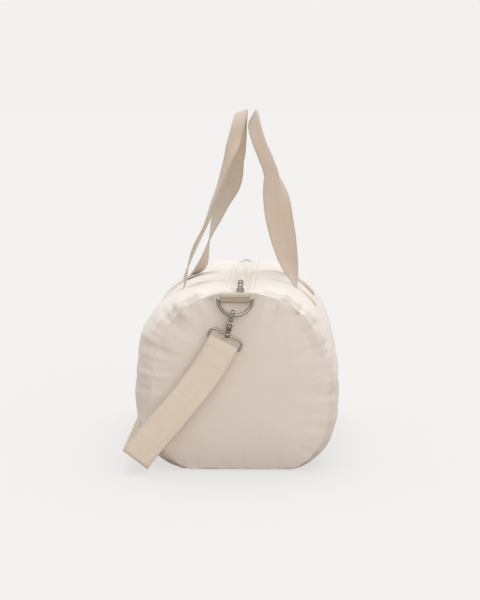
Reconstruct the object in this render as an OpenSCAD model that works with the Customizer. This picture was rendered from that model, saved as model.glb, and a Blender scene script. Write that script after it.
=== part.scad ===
// Canvas barrel bag with a top zip, two webbing carry handles and a webbing shoulder strap
// that clips to a D-ring at each end. Millimetres. The origin is on the ground under the
// middle of the bag, +Z is up, and the barrel lies along Y with its front end at -Y.

/* [Barrel] */
// Length between the two end panel seams
barrel_l = 450; // [300:5:600]
// Width of an end panel
end_w = 220; // [170:2:280]
// Height of the bag from the ground to the zip
barrel_h = 220; // [170:2:280]
// How much further the middle reaches out on the left than an end panel does
left_bulge = 22; // [0:1:40]
// The same on the right
right_bulge = 11; // [0:1:40]
// Height of the widest place above the ground
widest_z = 100; // [80:1:120]
// Depth by which the round bottom is pressed flat by the ground
base_press = 5; // [2:0.5:12]
// Outward dome of an end panel at its middle
end_dome = 9; // [4:0.5:10]
// Thickness of the canvas wall
canvas_t = 2; // [1:0.2:3]
// Width of the binding tape over the end seams, inside
binding_w = 14; // [8:1:20]
// Thickness of the binding tape
binding_t = 1; // [0.6:0.1:1.2]

/* [Zip] */
// Gap between the two folded canvas edges
zip_gap = 18; // [16:1:32]
// Width of the whole zip, from tape edge to tape edge
zip_w = 44; // [38:1:48]
// Thickness of the zip tape
tape_t = 1; // [0.6:0.1:1.4]
// Width of the closed coil, both halves
coil_w = 6.4; // [5:0.2:8]
// Height of the coil above the tape
coil_h = 2; // [1.4:0.1:2.6]
// Gap between the two halves of the coil, where the slider's post runs
coil_gap = 1.2; // [1:0.1:1.6]
// Length of tape beyond the coil at each end
coil_inset = 8; // [5:0.5:14]
// Length of a stop
stop_l = 3; // [2:0.5:5]
// Length of the slider
slider_l = 13; // [10:0.5:18]
// Thickness of the slider's plates and bridge
slider_t = 1.2; // [0.9:0.1:1.6]
// Length of the pull, from its pivot to its tip
pull_l = 34; // [24:1:45]
// Width of the pull
pull_w = 6.6; // [6:0.2:9]
// Thickness of the pull
pull_t = 1.4; // [1:0.1:1.6]
// Slope at which the pull rests on the canvas, in degrees
pull_slope = 10; // [0:1:20]

/* [Webbing] */
// Width of the webbing of the handles and the strap
web_w = 38; // [30:1:38]
// Thickness of the webbing
web_t = 1.6; // [1.2:0.1:2]
// Distance of a handle's anchors from the middle of the bag
anchor_y = 75; // [55:1:110]
// Height of the top of the handles above the ground
handle_top = 438; // [380:1:500]
// Width of the handles' grips, which are folded once lengthwise
grip_w = 18; // [16:0.5:19]
// Thickness of the folded grips
grip_t = 3.6; // [2.8:0.2:4]

/* [Rings and hooks] */
// Wire of the D-rings
ring_wire = 4; // [3:0.2:4.4]
// Radius of a D-ring's arc, at the middle of the wire
ring_r = 21; // [21:0.5:24]
// Sideways place of the rings, which sit a little left of the zip
ring_x = -5.6; // [-12:0.2:0]
// Distance of the ring's bar below the top of the bag
ring_drop = 9.2; // [8:0.2:12]
// Distance of the ring's bar from the end panel's rim
ring_standoff = 6.5; // [6:0.5:9]
// Outward tilt of the rings, in degrees
ring_tilt = 30; // [20:1:34]
// Place of the hook on the ring's arc, in degrees from the lowest point
hook_place = 10; // [0:1:14]
// Lean of the hook, in degrees
hook_lean = 13; // [4:1:18]
// Bar of the hook's eye
hook_bar = 4.4; // [3.6:0.2:4.6]
// Inner radius of the hook's eye
eye_r = 6; // [5.4:0.1:6.4]
// Length of the straight sides of the eye
eye_straight = 5.5; // [5:0.5:8]
// Distance from the ring's wire to the middle of the swivel boss
swivel_drop = 24; // [24:0.5:32]
// Radius of the swivel boss
boss_r = 3.4; // [3.2:0.1:4.6]
// Diameter of the swivel stud
stud_d = 2.8; // [2.4:0.1:3.2]
// Lean of the bail, in degrees
bail_lean = 27; // [14:1:30]
// Wire of the bail
bail_wire = 3.2; // [2.6:0.1:3.6]
// Height of the bail between the middles of its two bars
bail_h = 12.5; // [12:0.5:20]

/* [Shoulder strap] */
// Distance of the side run's middle outside the end panels
strap_out = 17; // [14:1:30]
// Gap between the ground and the lower edge of the side run
strap_lift = 4.3; // [3.6:0.1:12]
// Slant of the side run, in degrees
side_lean = 37; // [30:1:46]
// Radius of the strap's turn at the bottom of each drop
strap_turn = 5; // [4:0.5:8]
// Length of the strap's sewn-back ends
strap_tail = 34; // [24:1:40]
// Place of the length adjuster along the side run
adjuster_y = 60; // [-60:1:60]
// Length of the length adjuster
adjuster_l = 26; // [22:1:34]

/* [Hidden] */
$fn = 48;

// Colours, as the photograph shows them
canvas_colour = [0.9, 0.88, 0.85];
webbing_colour = [0.83, 0.77, 0.69];
tape_colour = [0.87, 0.85, 0.8];
nickel_colour = [0.72, 0.7, 0.66];

// Running gap between pieces that move past each other
clear = 0.3;
// Gap of a pin in its bore, on the radius
pin_clear = 0.08;
// Gap between soft pieces that lie on each other
seat = 0.1;
// Overrun of a cut past the face that it cuts
cut = 1;

// Powers of the barrel's outline: above the widest place, below it at an end panel and in the
// middle, where the bag settles squarer, and along the length, of its bulge and of its settling
shoulder_power = 2.2;
end_belly_power = 2.8;
mid_belly_power = 3.8;
bulge_power = 10;
settle_power = 2;
// Angle step of the outline, in degrees
step = 9;
// Angle at which the outline reaches the ground, from the widest place
ground_angle = asin(pow(widest_z / (widest_z + base_press), end_belly_power / 2));
end_y = barrel_l / 2;
tape_top = barrel_h - canvas_t;

// Places along the barrel at which its outline is drawn, from -1 at the front to 1 at the rear
binding_share = 1 - binding_w / end_y;
binding_mid_share = (1 + binding_share) / 2;
half_shares = [0.2, 0.42, 0.62, 0.76, 0.86, binding_share, binding_mid_share, 1];
station_shares = concat([for (i = [7:-1:0]) -half_shares[i]], half_shares);

// How much of the middle's shape a place along the barrel has, from 0 at an end panel to 1
function middle_share(place) = 1 - pow(abs(place), bulge_power);

// Half width of the barrel at a place along it, on the left (side -1) or the right (side 1)
function half_w(place, side) =
  end_w / 2 + (side < 0 ? left_bulge : right_bulge) * middle_share(place);
function belly_power(place) = end_belly_power
  + (mid_belly_power - end_belly_power) * (1 - pow(abs(place), settle_power));

// Point of the outline at an angle from the widest place (negative is below), at a depth
function skin(side, angle, place, depth) =
  let (power = angle < 0 ? belly_power(place) : shoulder_power)
  let (reach = angle < 0 ? widest_z + base_press : barrel_h - widest_z)
  let (out = (half_w(place, side) - depth - zip_w / 2) * pow(abs(cos(angle)), 2 / power))
  let (rise = (reach - depth) * pow(abs(sin(angle)), 2 / power) * sign(angle))
  [side * (zip_w / 2 + out), place * end_y, max(depth, widest_z + rise)];

// Angles of one side of the outline, from the zip tape's edge down to the ground
side_angles = concat([for (a = [90:-step:0]) a], [for (i = [1:7]) -ground_angle * i / 7]);

// One row of points round the barrel, from the left zip edge round the bottom to the right one
function zip_edge(side, place, depth) =
  [side * zip_gap / 2, place * end_y, barrel_h - depth];
function barrel_row(place, depth) = concat(
  [for (a = side_angles) skin(-1, a, place, depth)],
  [for (i = [len(side_angles) - 1:-1:0]) skin(1, side_angles[i], place, depth)]);
function panel_row(place, depth) =
  concat([zip_edge(-1, place, depth)], barrel_row(place, depth), [zip_edge(1, place, depth)]);

// Triangles of a closed sheet between an outer and an inner grid of the same size
function quad(a, b, c, d) = [[a, b, c], [a, c, d]];
function joined(lists) = [for (list = lists) for (item = list) item];
module sheet(outer, inner) {
  rows = len(outer);
  cols = len(outer[0]);
  count = rows * cols;
  faces = concat(
    joined([for (r = [0:rows - 2], c = [0:cols - 2])
      let (a = r * cols + c) quad(a, a + 1, a + cols + 1, a + cols)]),
    joined([for (r = [0:rows - 2], c = [0:cols - 2])
      let (a = count + r * cols + c) quad(a, a + cols, a + cols + 1, a + 1)]),
    joined([for (c = [0:cols - 2]) quad(c, count + c, count + c + 1, c + 1)]),
    joined([for (c = [0:cols - 2])
      let (a = count - cols + c) quad(a, a + 1, a + count + 1, a + count)]),
    joined([for (r = [0:rows - 2])
      let (a = r * cols) quad(a, a + cols, a + cols + count, a + count)]),
    joined([for (r = [0:rows - 2])
      let (a = r * cols + cols - 1) quad(a, a + count, a + cols + count, a + cols)]));
  polyhedron(points = concat(joined(outer), joined(inner)), faces = faces, convexity = 8);
}

// Round-ended outline along X, between the middles of its two ends
module round_ended(spread, width) {
  square([spread, width], center = true);
  for (side = [-1, 1]) translate([side * spread / 2, 0]) circle(d = width);
}

// Canvas body: one sheet from zip edge to zip edge, round the bottom

module main_panel() {
  color(canvas_colour)
    sheet([for (s = station_shares) panel_row(s, 0)],
      [for (s = station_shares) panel_row(s, canvas_t)]);
}

// End panels: domed discs whose rims meet the end faces of the main panel

panel_angles = concat([for (i = [7:-1:1]) -ground_angle * i / 7], [for (a = [0:step:90]) a]);
panel_shares = [-1, -0.9, -0.7, -0.45, -0.15, 0.15, 0.45, 0.7, 0.9, 1];
function dome(across, up) = end_dome * (1 - pow(across, 2)) * (1 - pow(up, 2));
function up_share(z) = z < widest_z ? (widest_z - z) / widest_z
  : (z - widest_z) / (barrel_h - widest_z);
function end_row(angle, out) = [for (s = panel_shares)
  let (p = skin(1, angle, 1, 0)) [s * p.x, -end_y - out - dome(s, up_share(p.z)), p.z]];

module front_end_panel() {
  color(canvas_colour)
    sheet([for (a = panel_angles) end_row(a, 0)], [for (a = panel_angles) end_row(a, canvas_t)]);
}

module rear_end_panel() mirror([0, 1, 0]) front_end_panel();

// Binding tapes that cover the end seams inside, from one zip tape round to the other

module seam_binding(places) {
  color(tape_colour)
    sheet([for (s = places) barrel_row(s, canvas_t + seat)],
      [for (s = places) barrel_row(s, canvas_t + seat + binding_t)]);
}

module front_seam_binding() seam_binding([-1, -binding_mid_share, -binding_share]);
module rear_seam_binding() seam_binding([binding_share, binding_mid_share, 1]);

// Zip: a tape and half a coil on each side, with a stop at each end

coil_l = barrel_l - 2 * coil_inset;

module zip_tape(side) {
  width = (zip_w - coil_gap) / 2;
  color(tape_colour) translate([side * (coil_gap + width) / 2, 0, tape_top - tape_t / 2])
    cube([width, barrel_l, tape_t], center = true);
}

module zip_coil(side) {
  width = (coil_w - coil_gap) / 2;
  color(tape_colour) translate([side * (coil_gap + width) / 2, 0, tape_top + coil_h / 2])
    cube([width, coil_l, coil_h], center = true);
}

module zip_stop(end) {
  color(nickel_colour)
    translate([0, end * (coil_l + stop_l) / 2, tape_top + (coil_h + slider_t) / 2])
      cube([coil_w + slider_t, stop_l, coil_h + slider_t], center = true);
}

module zip_tape_left() zip_tape(-1);
module zip_tape_right() zip_tape(1);
module zip_coil_left() zip_coil(-1);
module zip_coil_right() zip_coil(1);
module front_zip_stop() zip_stop(-1);
module rear_zip_stop() zip_stop(1);

// Slider: two plates joined by a post, with side flanges and a bridge that holds the pull

// Bar of the pull, and the slot in the pull that clears the slider's bridge
pull_bar_d = 1.8;
slot_w = 3.2;
slot_l = 3.6;
// Ends of the pull's two windows, in shares of its length
window_shares = [[0.28, 0.52], [0.7, 0.89]];
// Width of the windows, in shares of the pull's width
window_w_share = 0.55;
slider_w = coil_w + 2 * (clear + slider_t);
slider_y = -coil_l / 2 + slider_l / 2 + clear;
plate_z = tape_top + coil_h + clear;
pivot_z = plate_z + slider_t + pull_bar_d / 2 + clear;
bridge_w = slot_w - 4 * clear;
leg_in = pull_bar_d / 2 + 2 * clear;
leg_t = slider_t;
bridge_rise = pull_bar_d / 2 + clear;

module zip_slider() {
  top_z = plate_z + slider_t;
  under_z = tape_top - tape_t - clear;
  color(nickel_colour) translate([0, slider_y, 0]) {
    translate([-slider_w / 2, -slider_l / 2, plate_z]) cube([slider_w, slider_l, slider_t]);
    translate([-slider_w / 2, -slider_l / 2, under_z - slider_t])
      cube([slider_w, slider_l, slider_t]);
    for (side = [-1, 1]) translate([side * (slider_w - slider_t) / 2, 0, 0])
      translate([-slider_t / 2, -slider_l / 2, tape_top + clear])
        cube([slider_t, slider_l, plate_z - tape_top - clear]);
    post_w = coil_gap - 2 * clear;
    translate([-post_w / 2, slider_l / 6, under_z]) cube([post_w, slider_l / 3, plate_z - under_z]);
    for (end = [-1, 1]) translate([-bridge_w / 2, end * (leg_in + leg_t / 2) - leg_t / 2, top_z])
      cube([bridge_w, leg_t, pivot_z + bridge_rise + slider_t - top_z]);
    translate([-bridge_w / 2, -leg_in - leg_t, pivot_z + bridge_rise])
      cube([bridge_w, 2 * (leg_in + leg_t), slider_t]);
  }
}

// Pull: a flat frame with two windows, on a round bar that turns under the bridge

module zip_pull() {
  hole_w = window_w_share * pull_w;
  tip_r = pull_w / 2;
  slot_start = pull_bar_d / 2;
  color(nickel_colour) translate([0, slider_y, pivot_z]) rotate([pull_slope, 0, 0]) {
    rotate([0, 90, 0]) cylinder(h = pull_w, d = pull_bar_d, center = true);
    translate([0, 0, -pull_t / 2]) linear_extrude(pull_t) difference() {
      union() {
        translate([-pull_w / 2, 0]) square([pull_w, pull_l - tip_r]);
        translate([0, pull_l - tip_r]) circle(r = tip_r);
      }
      translate([-slot_w / 2, -cut]) square([slot_w, slot_start + slot_l + cut]);
      for (shares = window_shares) translate([0, (shares[0] + shares[1]) / 2 * pull_l])
        rotate(90) round_ended((shares[1] - shares[0]) * pull_l, hole_w);
    }
  }
}

// Handles: webbing ribbons that are sewn to the shoulders of the barrel

anchor_angle = 90 - 3 * step;
function patch_row(side, y, depth) =
  [for (a = [anchor_angle:-step:anchor_angle - 2 * step])
    let (p = skin(side, a, y / end_y, depth)) p];

// Where a handle leaves its sewn ends, which is the line that it swings about
function handle_root(side) = skin(side, anchor_angle, anchor_y / end_y, -web_t);

module handle_ends(side) {
  color(webbing_colour) for (end = [-1, 1]) {
    rows = [end * anchor_y + side * web_w / 2, end * anchor_y - side * web_w / 2];
    sheet([for (y = rows) patch_row(side, y, -web_t)], [for (y = rows) patch_row(side, y, 0)]);
  }
}

module left_handle_ends() handle_ends(-1);
module right_handle_ends() handle_ends(1);

// Shape of one strand, from its anchor to the top of the handle, in shares of the handle's
// rise, of the anchor's distance from the middle, and of the way in from the anchor.
// The fourth column is how far the webbing has folded into the grip, the fifth is its turn
// in degrees from lying along the bag. All four strands hang differently.
near_left_shares = [
  [0, 1, 0, 0, 0], [0.06, 1, 0.03, 0, -7], [0.145, 0.985, 0.1, 0, 0],
  [0.23, 0.96, 0.195, 0, 4], [0.315, 0.925, 0.32, 0, 2], [0.4, 0.88, 0.425, 0, 4],
  [0.49, 0.83, 0.527, 0, 6], [0.575, 0.77, 0.63, 0.2, 9], [0.66, 0.7, 0.715, 0.5, 17],
  [0.75, 0.62, 0.808, 0.92, 45], [0.84, 0.52, 0.892, 1, 80], [0.92, 0.38, 0.95, 1, 90],
  [0.975, 0.2, 0.99, 1, 90], [1, 0, 1, 1, 90]];
far_left_shares = [
  [0, 1, 0, 0, 0], [0.06, 1, 0.22, 0, -20], [0.145, 0.985, 0.31, 0, -10],
  [0.23, 0.96, 0.375, 0, 0], [0.315, 0.925, 0.455, 0, 11], [0.4, 0.88, 0.552, 0, 22],
  [0.49, 0.83, 0.65, 0, 35], [0.575, 0.77, 0.765, 0, 48], [0.66, 0.7, 0.85, 0.3, 60],
  [0.75, 0.62, 0.925, 0.85, 80], [0.84, 0.52, 0.965, 1, 88], [0.92, 0.38, 0.975, 1, 90],
  [0.975, 0.2, 0.99, 1, 90], [1, 0, 1, 1, 90]];
near_right_shares = [
  [0, 1, 0, 0, 0], [0.06, 1, 0.07, 0, 16], [0.145, 0.985, 0.18, 0, 37],
  [0.23, 0.96, 0.262, 0, 51], [0.315, 0.925, 0.332, 0, 62], [0.4, 0.88, 0.4, 0, 68],
  [0.49, 0.83, 0.452, 0.12, 80], [0.575, 0.77, 0.508, 0.38, 88], [0.66, 0.7, 0.582, 0.78, 90],
  [0.75, 0.62, 0.71, 1, 90], [0.84, 0.52, 0.862, 1, 90], [0.92, 0.38, 0.958, 1, 90],
  [0.975, 0.2, 0.99, 1, 90], [1, 0, 1, 1, 90]];
far_right_shares = [
  [0, 1, 0, 0, 0], [0.06, 1, 0.07, 0, 16], [0.145, 0.985, 0.18, 0, 35],
  [0.23, 0.96, 0.265, 0, 48], [0.315, 0.925, 0.34, 0, 58], [0.4, 0.88, 0.41, 0, 64],
  [0.49, 0.83, 0.465, 0.2, 78], [0.575, 0.77, 0.53, 0.5, 88], [0.66, 0.7, 0.62, 0.88, 90],
  [0.75, 0.62, 0.765, 1, 90], [0.84, 0.52, 0.896, 1, 90], [0.92, 0.38, 0.975, 1, 90],
  [0.975, 0.2, 0.99, 1, 90], [1, 0, 1, 1, 90]];
// Turn of each grip about its own length at the top, in degrees, where the two lean together
left_roll = 17;
right_roll = 62;
// Share of the rise from which a grip starts to turn
roll_start_share = 0.84;
// Sideways place of the line where the two grips meet
meet_x = 6.5;

function unit(v) = v / norm(v);
function ribbon_side(tangent, across) = unit(across - (across * tangent) * tangent);
function tangent_at(points, i) =
  unit(points[min(i + 1, len(points) - 1)] - points[max(i - 1, 0)]);

// Closed ribbon through points, with a direction across it and a half size at each of them
module ribbon(points, across, widths, thicknesses) {
  last = len(points) - 1;
  tangents = [for (i = [0:last]) tangent_at(points, i)];
  sides = [for (i = [0:last]) ribbon_side(tangents[i], across[i])];
  ups = [for (i = [0:last]) cross(tangents[i], sides[i])];
  function row(i, level) = [for (s = [-1, 1])
    points[i] + sides[i] * s * widths[i] / 2 + ups[i] * level * thicknesses[i] / 2];
  sheet([for (i = [0:last]) row(i, 1)], [for (i = [0:last]) row(i, -1)]);
}

// Half width and half height of a grip at the top, where it is turned by its roll
function grip_half_w(roll) = (grip_w * cos(roll) + grip_t * sin(roll)) / 2;
function grip_half_h(roll) = (grip_w * sin(roll) + grip_t * cos(roll)) / 2;

// Points of one handle, from its near anchor over the top to its far one
function strand_point(row, side, end, roll) =
  let (root = handle_root(side))
  let (start = [root.x - side * web_t / 2, root.z + clear])
  let (top = [meet_x + side * (grip_half_w(roll) + clear), handle_top - grip_half_h(roll)])
  [start.x + (top.x - start.x) * row[2], end * anchor_y * row[1],
    start.y + (top.y - start.y) * row[0]];
function strand_across(row, end, roll) =
  let (r = roll * max(0, row[0] - roll_start_share) / (1 - roll_start_share))
  [sin(row[4]) * cos(r), -end * cos(row[4]), sin(row[4]) * sin(r)];

module handle(side, near, far, roll) {
  last = len(near) - 1;
  rows = concat(near, [for (i = [last - 1:-1:0]) far[i]]);
  ends = concat([for (i = [0:last]) -1], [for (i = [last - 1:-1:0]) 1]);
  color(webbing_colour) ribbon(
    [for (i = [0:2 * last]) strand_point(rows[i], side, ends[i], roll)],
    [for (i = [0:2 * last]) strand_across(rows[i], ends[i], roll)],
    [for (row = rows) web_w + (grip_w - web_w) * row[3]],
    [for (row = rows) web_t + (grip_t - web_t) * row[3]]);
}

module left_handle() handle(-1, near_left_shares, far_left_shares, left_roll);
module right_handle() handle(1, near_right_shares, far_right_shares, right_roll);

// Ring tabs: webbing that comes out of the end seam and goes round the bar of the ring

ring_y = -end_y - canvas_t - ring_standoff;
ring_z = barrel_h - ring_drop;
tab_r = ring_wire / 2 + clear + web_t;
tab_w = 2 * sqrt(pow(ring_r - ring_wire / 2, 2) - pow(tab_r, 2)) - 2 * clear;

module front_ring_tab() {
  top_z = barrel_h - web_t;
  rim_y = -end_y - canvas_t - dome(0, up_share(top_z - 2 * web_t)) - seat;
  color(webbing_colour) translate([ring_x - tab_w / 2, 0, 0])
    rotate([90, 0, 90]) linear_extrude(tab_w) difference() {
      union() {
        translate([ring_y, ring_z]) circle(r = tab_r);
        translate([ring_y - web_t, ring_z]) square([2 * web_t, top_z - ring_z]);
        translate([ring_y - web_t, top_z - 2 * web_t])
          square([rim_y - ring_y + web_t, 2 * web_t]);
      }
      translate([ring_y, ring_z]) circle(r = tab_r - web_t);
    }
}

module rear_ring_tab() mirror([0, 1, 0]) front_ring_tab();

// D-rings: a straight bar and a half round arc of the same wire

module front_ring() {
  color(nickel_colour) translate([ring_x, ring_y, ring_z]) rotate([-ring_tilt, 0, 0]) {
    rotate([0, 90, 0]) cylinder(h = 2 * ring_r, d = ring_wire, center = true);
    rotate([-90, 0, 0]) rotate_extrude(angle = 180) translate([ring_r, 0]) circle(d = ring_wire);
    for (side = [-1, 1]) translate([side * ring_r, 0, 0]) sphere(d = ring_wire);
  }
}

module rear_ring() mirror([0, 1, 0]) front_ring();

// Gap between the ring's wire and the top of the hook's eye
wire_gap = 0.4;
// Angle of the hook's lip from the closed side of the eye, over the top
lip_angle = 158;
// Sizes of a hook's details in shares of its bar, of its ears, and of the boss and the stud
ear_r_share = 0.8;
ear_w_share = 1.7;
gate_share = 0.8;
body_w_share = 1.5;
gate_w_share = 1.3;
gate_pin_share = 0.4;
knuckle_share = 0.45;
gate_slot_share = 0.62;
boss_flat_share = 0.9;
stud_head_share = 1.8;
stud_head_t_share = 0.4;

// Hooks: all of a hook's pieces are drawn with the ring's wire at the origin and the swivel
// straight below it, then set in place

hook_x = ring_x - ring_r * sin(hook_place);
hook_y = ring_y - ring_r * cos(hook_place) * sin(ring_tilt);
hook_z = ring_z - ring_r * cos(hook_place) * cos(ring_tilt);
arc_r = eye_r + hook_bar / 2;
eye_top_z = ring_wire / 2 + wire_gap - eye_r;
eye_low_z = eye_top_z - eye_straight;
collar_r = boss_r;
boss_face = boss_flat_share * boss_r;
collar_low_z = -swivel_drop + boss_face + clear;
stud_top_z = eye_low_z - arc_r;
ear_r = ear_r_share * hook_bar;
ear_w = ear_w_share * hook_bar;
knuckle_r = hook_bar / 2;
knuckle_w = knuckle_share * ear_w;
gate_slot_w = gate_slot_share * ear_w;
gate_pin_d = gate_pin_share * hook_bar;
gate_d = gate_share * hook_bar;
body_w = body_w_share * hook_bar;
gate_w = gate_w_share * hook_bar;
stud_head_t = stud_head_t_share * stud_d;

module at_hook() translate([hook_x, hook_y, hook_z]) rotate([0, hook_lean, 0]) children();

// Bars of the eye bent round through an angle, in the plane of the hook: a round one over the
// top, and a wide flat one with round edges at the bottom
module lip_arc(angle) {
  rotate([0, 90, 0]) rotate([0, 0, 90]) rotate_extrude(angle = angle)
    translate([arc_r, 0]) circle(d = hook_bar);
}

module wide_arc(angle, bar, width) {
  rotate([0, 90, 0]) rotate([0, 0, 90]) rotate_extrude(angle = angle)
    translate([arc_r, 0]) rotate(90) round_ended(width - bar, bar);
}

module front_hook() {
  color(nickel_colour) at_hook() difference() {
    union() {
      translate([0, 0, eye_top_z]) lip_arc(lip_angle);
      translate([0, 0, eye_top_z]) rotate([lip_angle, 0, 0]) translate([0, arc_r, 0])
        sphere(d = hook_bar);
      translate([0, arc_r, eye_low_z]) cylinder(h = eye_straight, d = hook_bar);
      translate([0, 0, eye_low_z]) rotate([180, 0, 0]) mirror([0, 1, 0])
        wide_arc(180, hook_bar + 2 * seat, body_w);
      translate([0, -arc_r, eye_low_z]) rotate([0, 90, 0])
        cylinder(h = ear_w, r = ear_r, center = true);
      translate([0, 0, collar_low_z]) cylinder(h = stud_top_z - collar_low_z, r = collar_r);
    }
    translate([-gate_slot_w / 2, -arc_r - ear_r - cut, eye_low_z - ear_r - clear])
      cube([gate_slot_w, ear_r + knuckle_r + clear + cut, 2 * ear_r + 2 * clear + cut]);
    translate([-gate_slot_w / 2, -arc_r - ear_r - cut, eye_low_z])
      cube([gate_slot_w, 2 * (ear_r + cut), ear_r + cut]);
    translate([0, -arc_r, eye_low_z]) rotate([0, 90, 0])
      cylinder(h = ear_w + 2 * cut, d = gate_pin_d + 2 * pin_clear, center = true);
    translate([0, 0, collar_low_z - cut])
      cylinder(h = stud_top_z - collar_low_z + cut, d = stud_d);
  }
}

// Stud: fixed in the hook's collar, it turns in the boss of the bail and has a head below it
module front_swivel_stud() {
  head_z = -swivel_drop - boss_face - clear;
  color(nickel_colour) at_hook() {
    translate([0, 0, head_z]) cylinder(h = stud_top_z - head_z, d = stud_d);
    translate([0, 0, head_z - stud_head_t]) cylinder(h = stud_head_t, d = stud_head_share * stud_d);
  }
}

// Gate: a wide flat finger on a knuckle between the ears, which closes the eye under the lip
module front_gate() {
  gate_l = eye_straight + arc_r * sin(lip_angle) - hook_bar / 2 - 2 * clear;
  gate_start = ear_r + clear;
  color(nickel_colour) at_hook() translate([0, -arc_r, eye_low_z]) difference() {
    union() {
      rotate([0, 90, 0]) cylinder(h = knuckle_w, r = knuckle_r, center = true);
      translate([0, 0, gate_start]) linear_extrude(gate_l - gate_start)
        round_ended(gate_w - gate_d, gate_d);
      cylinder(h = gate_start + clear, d = knuckle_w);
    }
    rotate([0, 90, 0])
      cylinder(h = knuckle_w + gate_d + cut, d = gate_pin_d + 2 * pin_clear, center = true);
  }
}

module front_gate_pin() {
  color(nickel_colour) at_hook() translate([0, -arc_r, eye_low_z]) rotate([0, 90, 0])
    cylinder(h = ear_w, d = gate_pin_d, center = true);
}

// Spring: small coil round the pin, beside the knuckle
module front_gate_spring() {
  spring_w = (gate_slot_w - knuckle_w) / 2 - clear;
  color(nickel_colour) at_hook()
    translate([knuckle_w / 2 + clear / 2, -arc_r, eye_low_z]) rotate([0, 90, 0])
      difference() {
        cylinder(h = spring_w, r = knuckle_r - clear);
        translate([0, 0, -cut])
          cylinder(h = spring_w + 2 * cut, d = gate_pin_d + 2 * pin_clear);
      }
}

module rear_hook() mirror([0, 1, 0]) front_hook();
module rear_swivel_stud() mirror([0, 1, 0]) front_swivel_stud();
module rear_gate() mirror([0, 1, 0]) front_gate();
module rear_gate_pin() mirror([0, 1, 0]) front_gate_pin();
module rear_gate_spring() mirror([0, 1, 0]) front_gate_spring();

// Bails: a wire loop with a boss on its upper bar, which the stud turns in

// Radii of the bail's corners at the boss and at the strap, in shares of its wire
bail_corner_shares = [1.8, 0.8];
boss_x = hook_x - swivel_drop * sin(hook_lean);
boss_z = hook_z - swivel_drop * cos(hook_lean);
bail_w = web_w + 2 * clear + bail_wire;
bail_corner_r = bail_corner_shares * bail_wire;

module bail_bar(length, z) translate([0, 0, z]) rotate([0, 90, 0])
  cylinder(h = length, d = bail_wire, center = true);

module bail_corner(side, r, turn) translate([side * (bail_w / 2 - r), 0, 0])
  rotate([90, turn, 0]) rotate_extrude(angle = 90) translate([r, 0]) circle(d = bail_wire);

module front_bail() {
  top_r = bail_corner_r[0];
  foot_r = bail_corner_r[1];
  color(nickel_colour) translate([boss_x, hook_y, boss_z]) difference() {
    union() {
      rotate([0, bail_lean, 0]) {
        bail_bar(bail_w - 2 * top_r, 0);
        bail_bar(bail_w - 2 * foot_r, -bail_h);
        for (side = [-1, 1]) {
          translate([side * bail_w / 2, 0, -bail_h + foot_r])
            cylinder(h = bail_h - top_r - foot_r, d = bail_wire);
          translate([0, 0, -top_r]) bail_corner(side, top_r, side > 0 ? 0 : -90);
          translate([0, 0, -bail_h + foot_r]) bail_corner(side, foot_r, side > 0 ? 90 : 180);
        }
      }
      rotate([0, hook_lean, 0]) intersection() {
        sphere(r = boss_r);
        cylinder(h = 2 * boss_face, r = boss_r + cut, center = true);
      }
    }
    rotate([0, hook_lean, 0])
      cylinder(h = 2 * boss_r + 2 * cut, d = stud_d + 2 * pin_clear, center = true);
  }
}

module rear_bail() mirror([0, 1, 0]) front_bail();

// Shoulder strap: one webbing ribbon, sewn back round the bail's lower bar at each end

// Where the sewn-back end of the strap meets it, narrows and leaves the bail's bar, and where
// the drop starts, in shares of the radius of the loop round the bar
tail_share = 3.5;
neck_share = 2.4;
drop_start_share = 2;
bar_x = boss_x - bail_h * sin(bail_lean);
bar_z = boss_z - bail_h * cos(bail_lean);
loop_r = bail_wire / 2 + clear + web_t / 2;
run_x = -end_w / 2 - strap_out;
run_z = strap_lift + web_w / 2 * sin(side_lean) + web_t / 2;
drop_y = hook_y - loop_r;
function lean(angle) = [-sin(angle), 0, -cos(angle)];
function flat(angle) = [cos(angle), 0, -sin(angle)];
function at_bar(down, y) = [bar_x, hook_y + y, bar_z] + down * lean(bail_lean);

// The drop from the bail to the turn follows a cubic curve with a lean given at each end
drop_start = at_bar(drop_start_share * loop_r, -loop_r);
drop_end = [run_x, drop_y, run_z] - strap_turn * lean(side_lean);
drop_reach = norm(drop_end - drop_start) / 3;
function cubic(t) = pow(1 - t, 3) * drop_start
  + 3 * pow(1 - t, 2) * t * (drop_start + drop_reach * lean(bail_lean))
  + 3 * (1 - t) * pow(t, 2) * (drop_end - drop_reach * lean(side_lean))
  + pow(t, 3) * drop_end;

tail_y = -loop_r + web_t + seat;
strap_half = concat(
  [at_bar(strap_tail, tail_y), at_bar(tail_share * loop_r, tail_y),
    at_bar(neck_share * loop_r, 0)],
  [for (a = [0:30:180]) at_bar(-loop_r * sin(a), loop_r * cos(a))],
  [for (i = [0:8]) cubic(i / 8)],
  [for (a = [22.5:22.5:90]) drop_end + strap_turn * (sin(a) * lean(side_lean)
    + (1 - cos(a)) * [0, 1, 0])]);
across_half = concat([for (i = [0:9]) flat(bail_lean)],
  [for (i = [0:8]) flat(bail_lean + (side_lean - bail_lean) * i / 8)],
  [for (i = [0:3]) flat(side_lean)]);
function mirrored(points) = [for (i = [len(points) - 1:-1:0])
  [points[i].x, -points[i].y, points[i].z]];

module shoulder_strap() {
  points = concat(strap_half, mirrored(strap_half));
  color(webbing_colour) ribbon(points, concat(across_half, mirrored(across_half)),
    [for (p = points) web_w], [for (p = points) web_t]);
}

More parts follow.
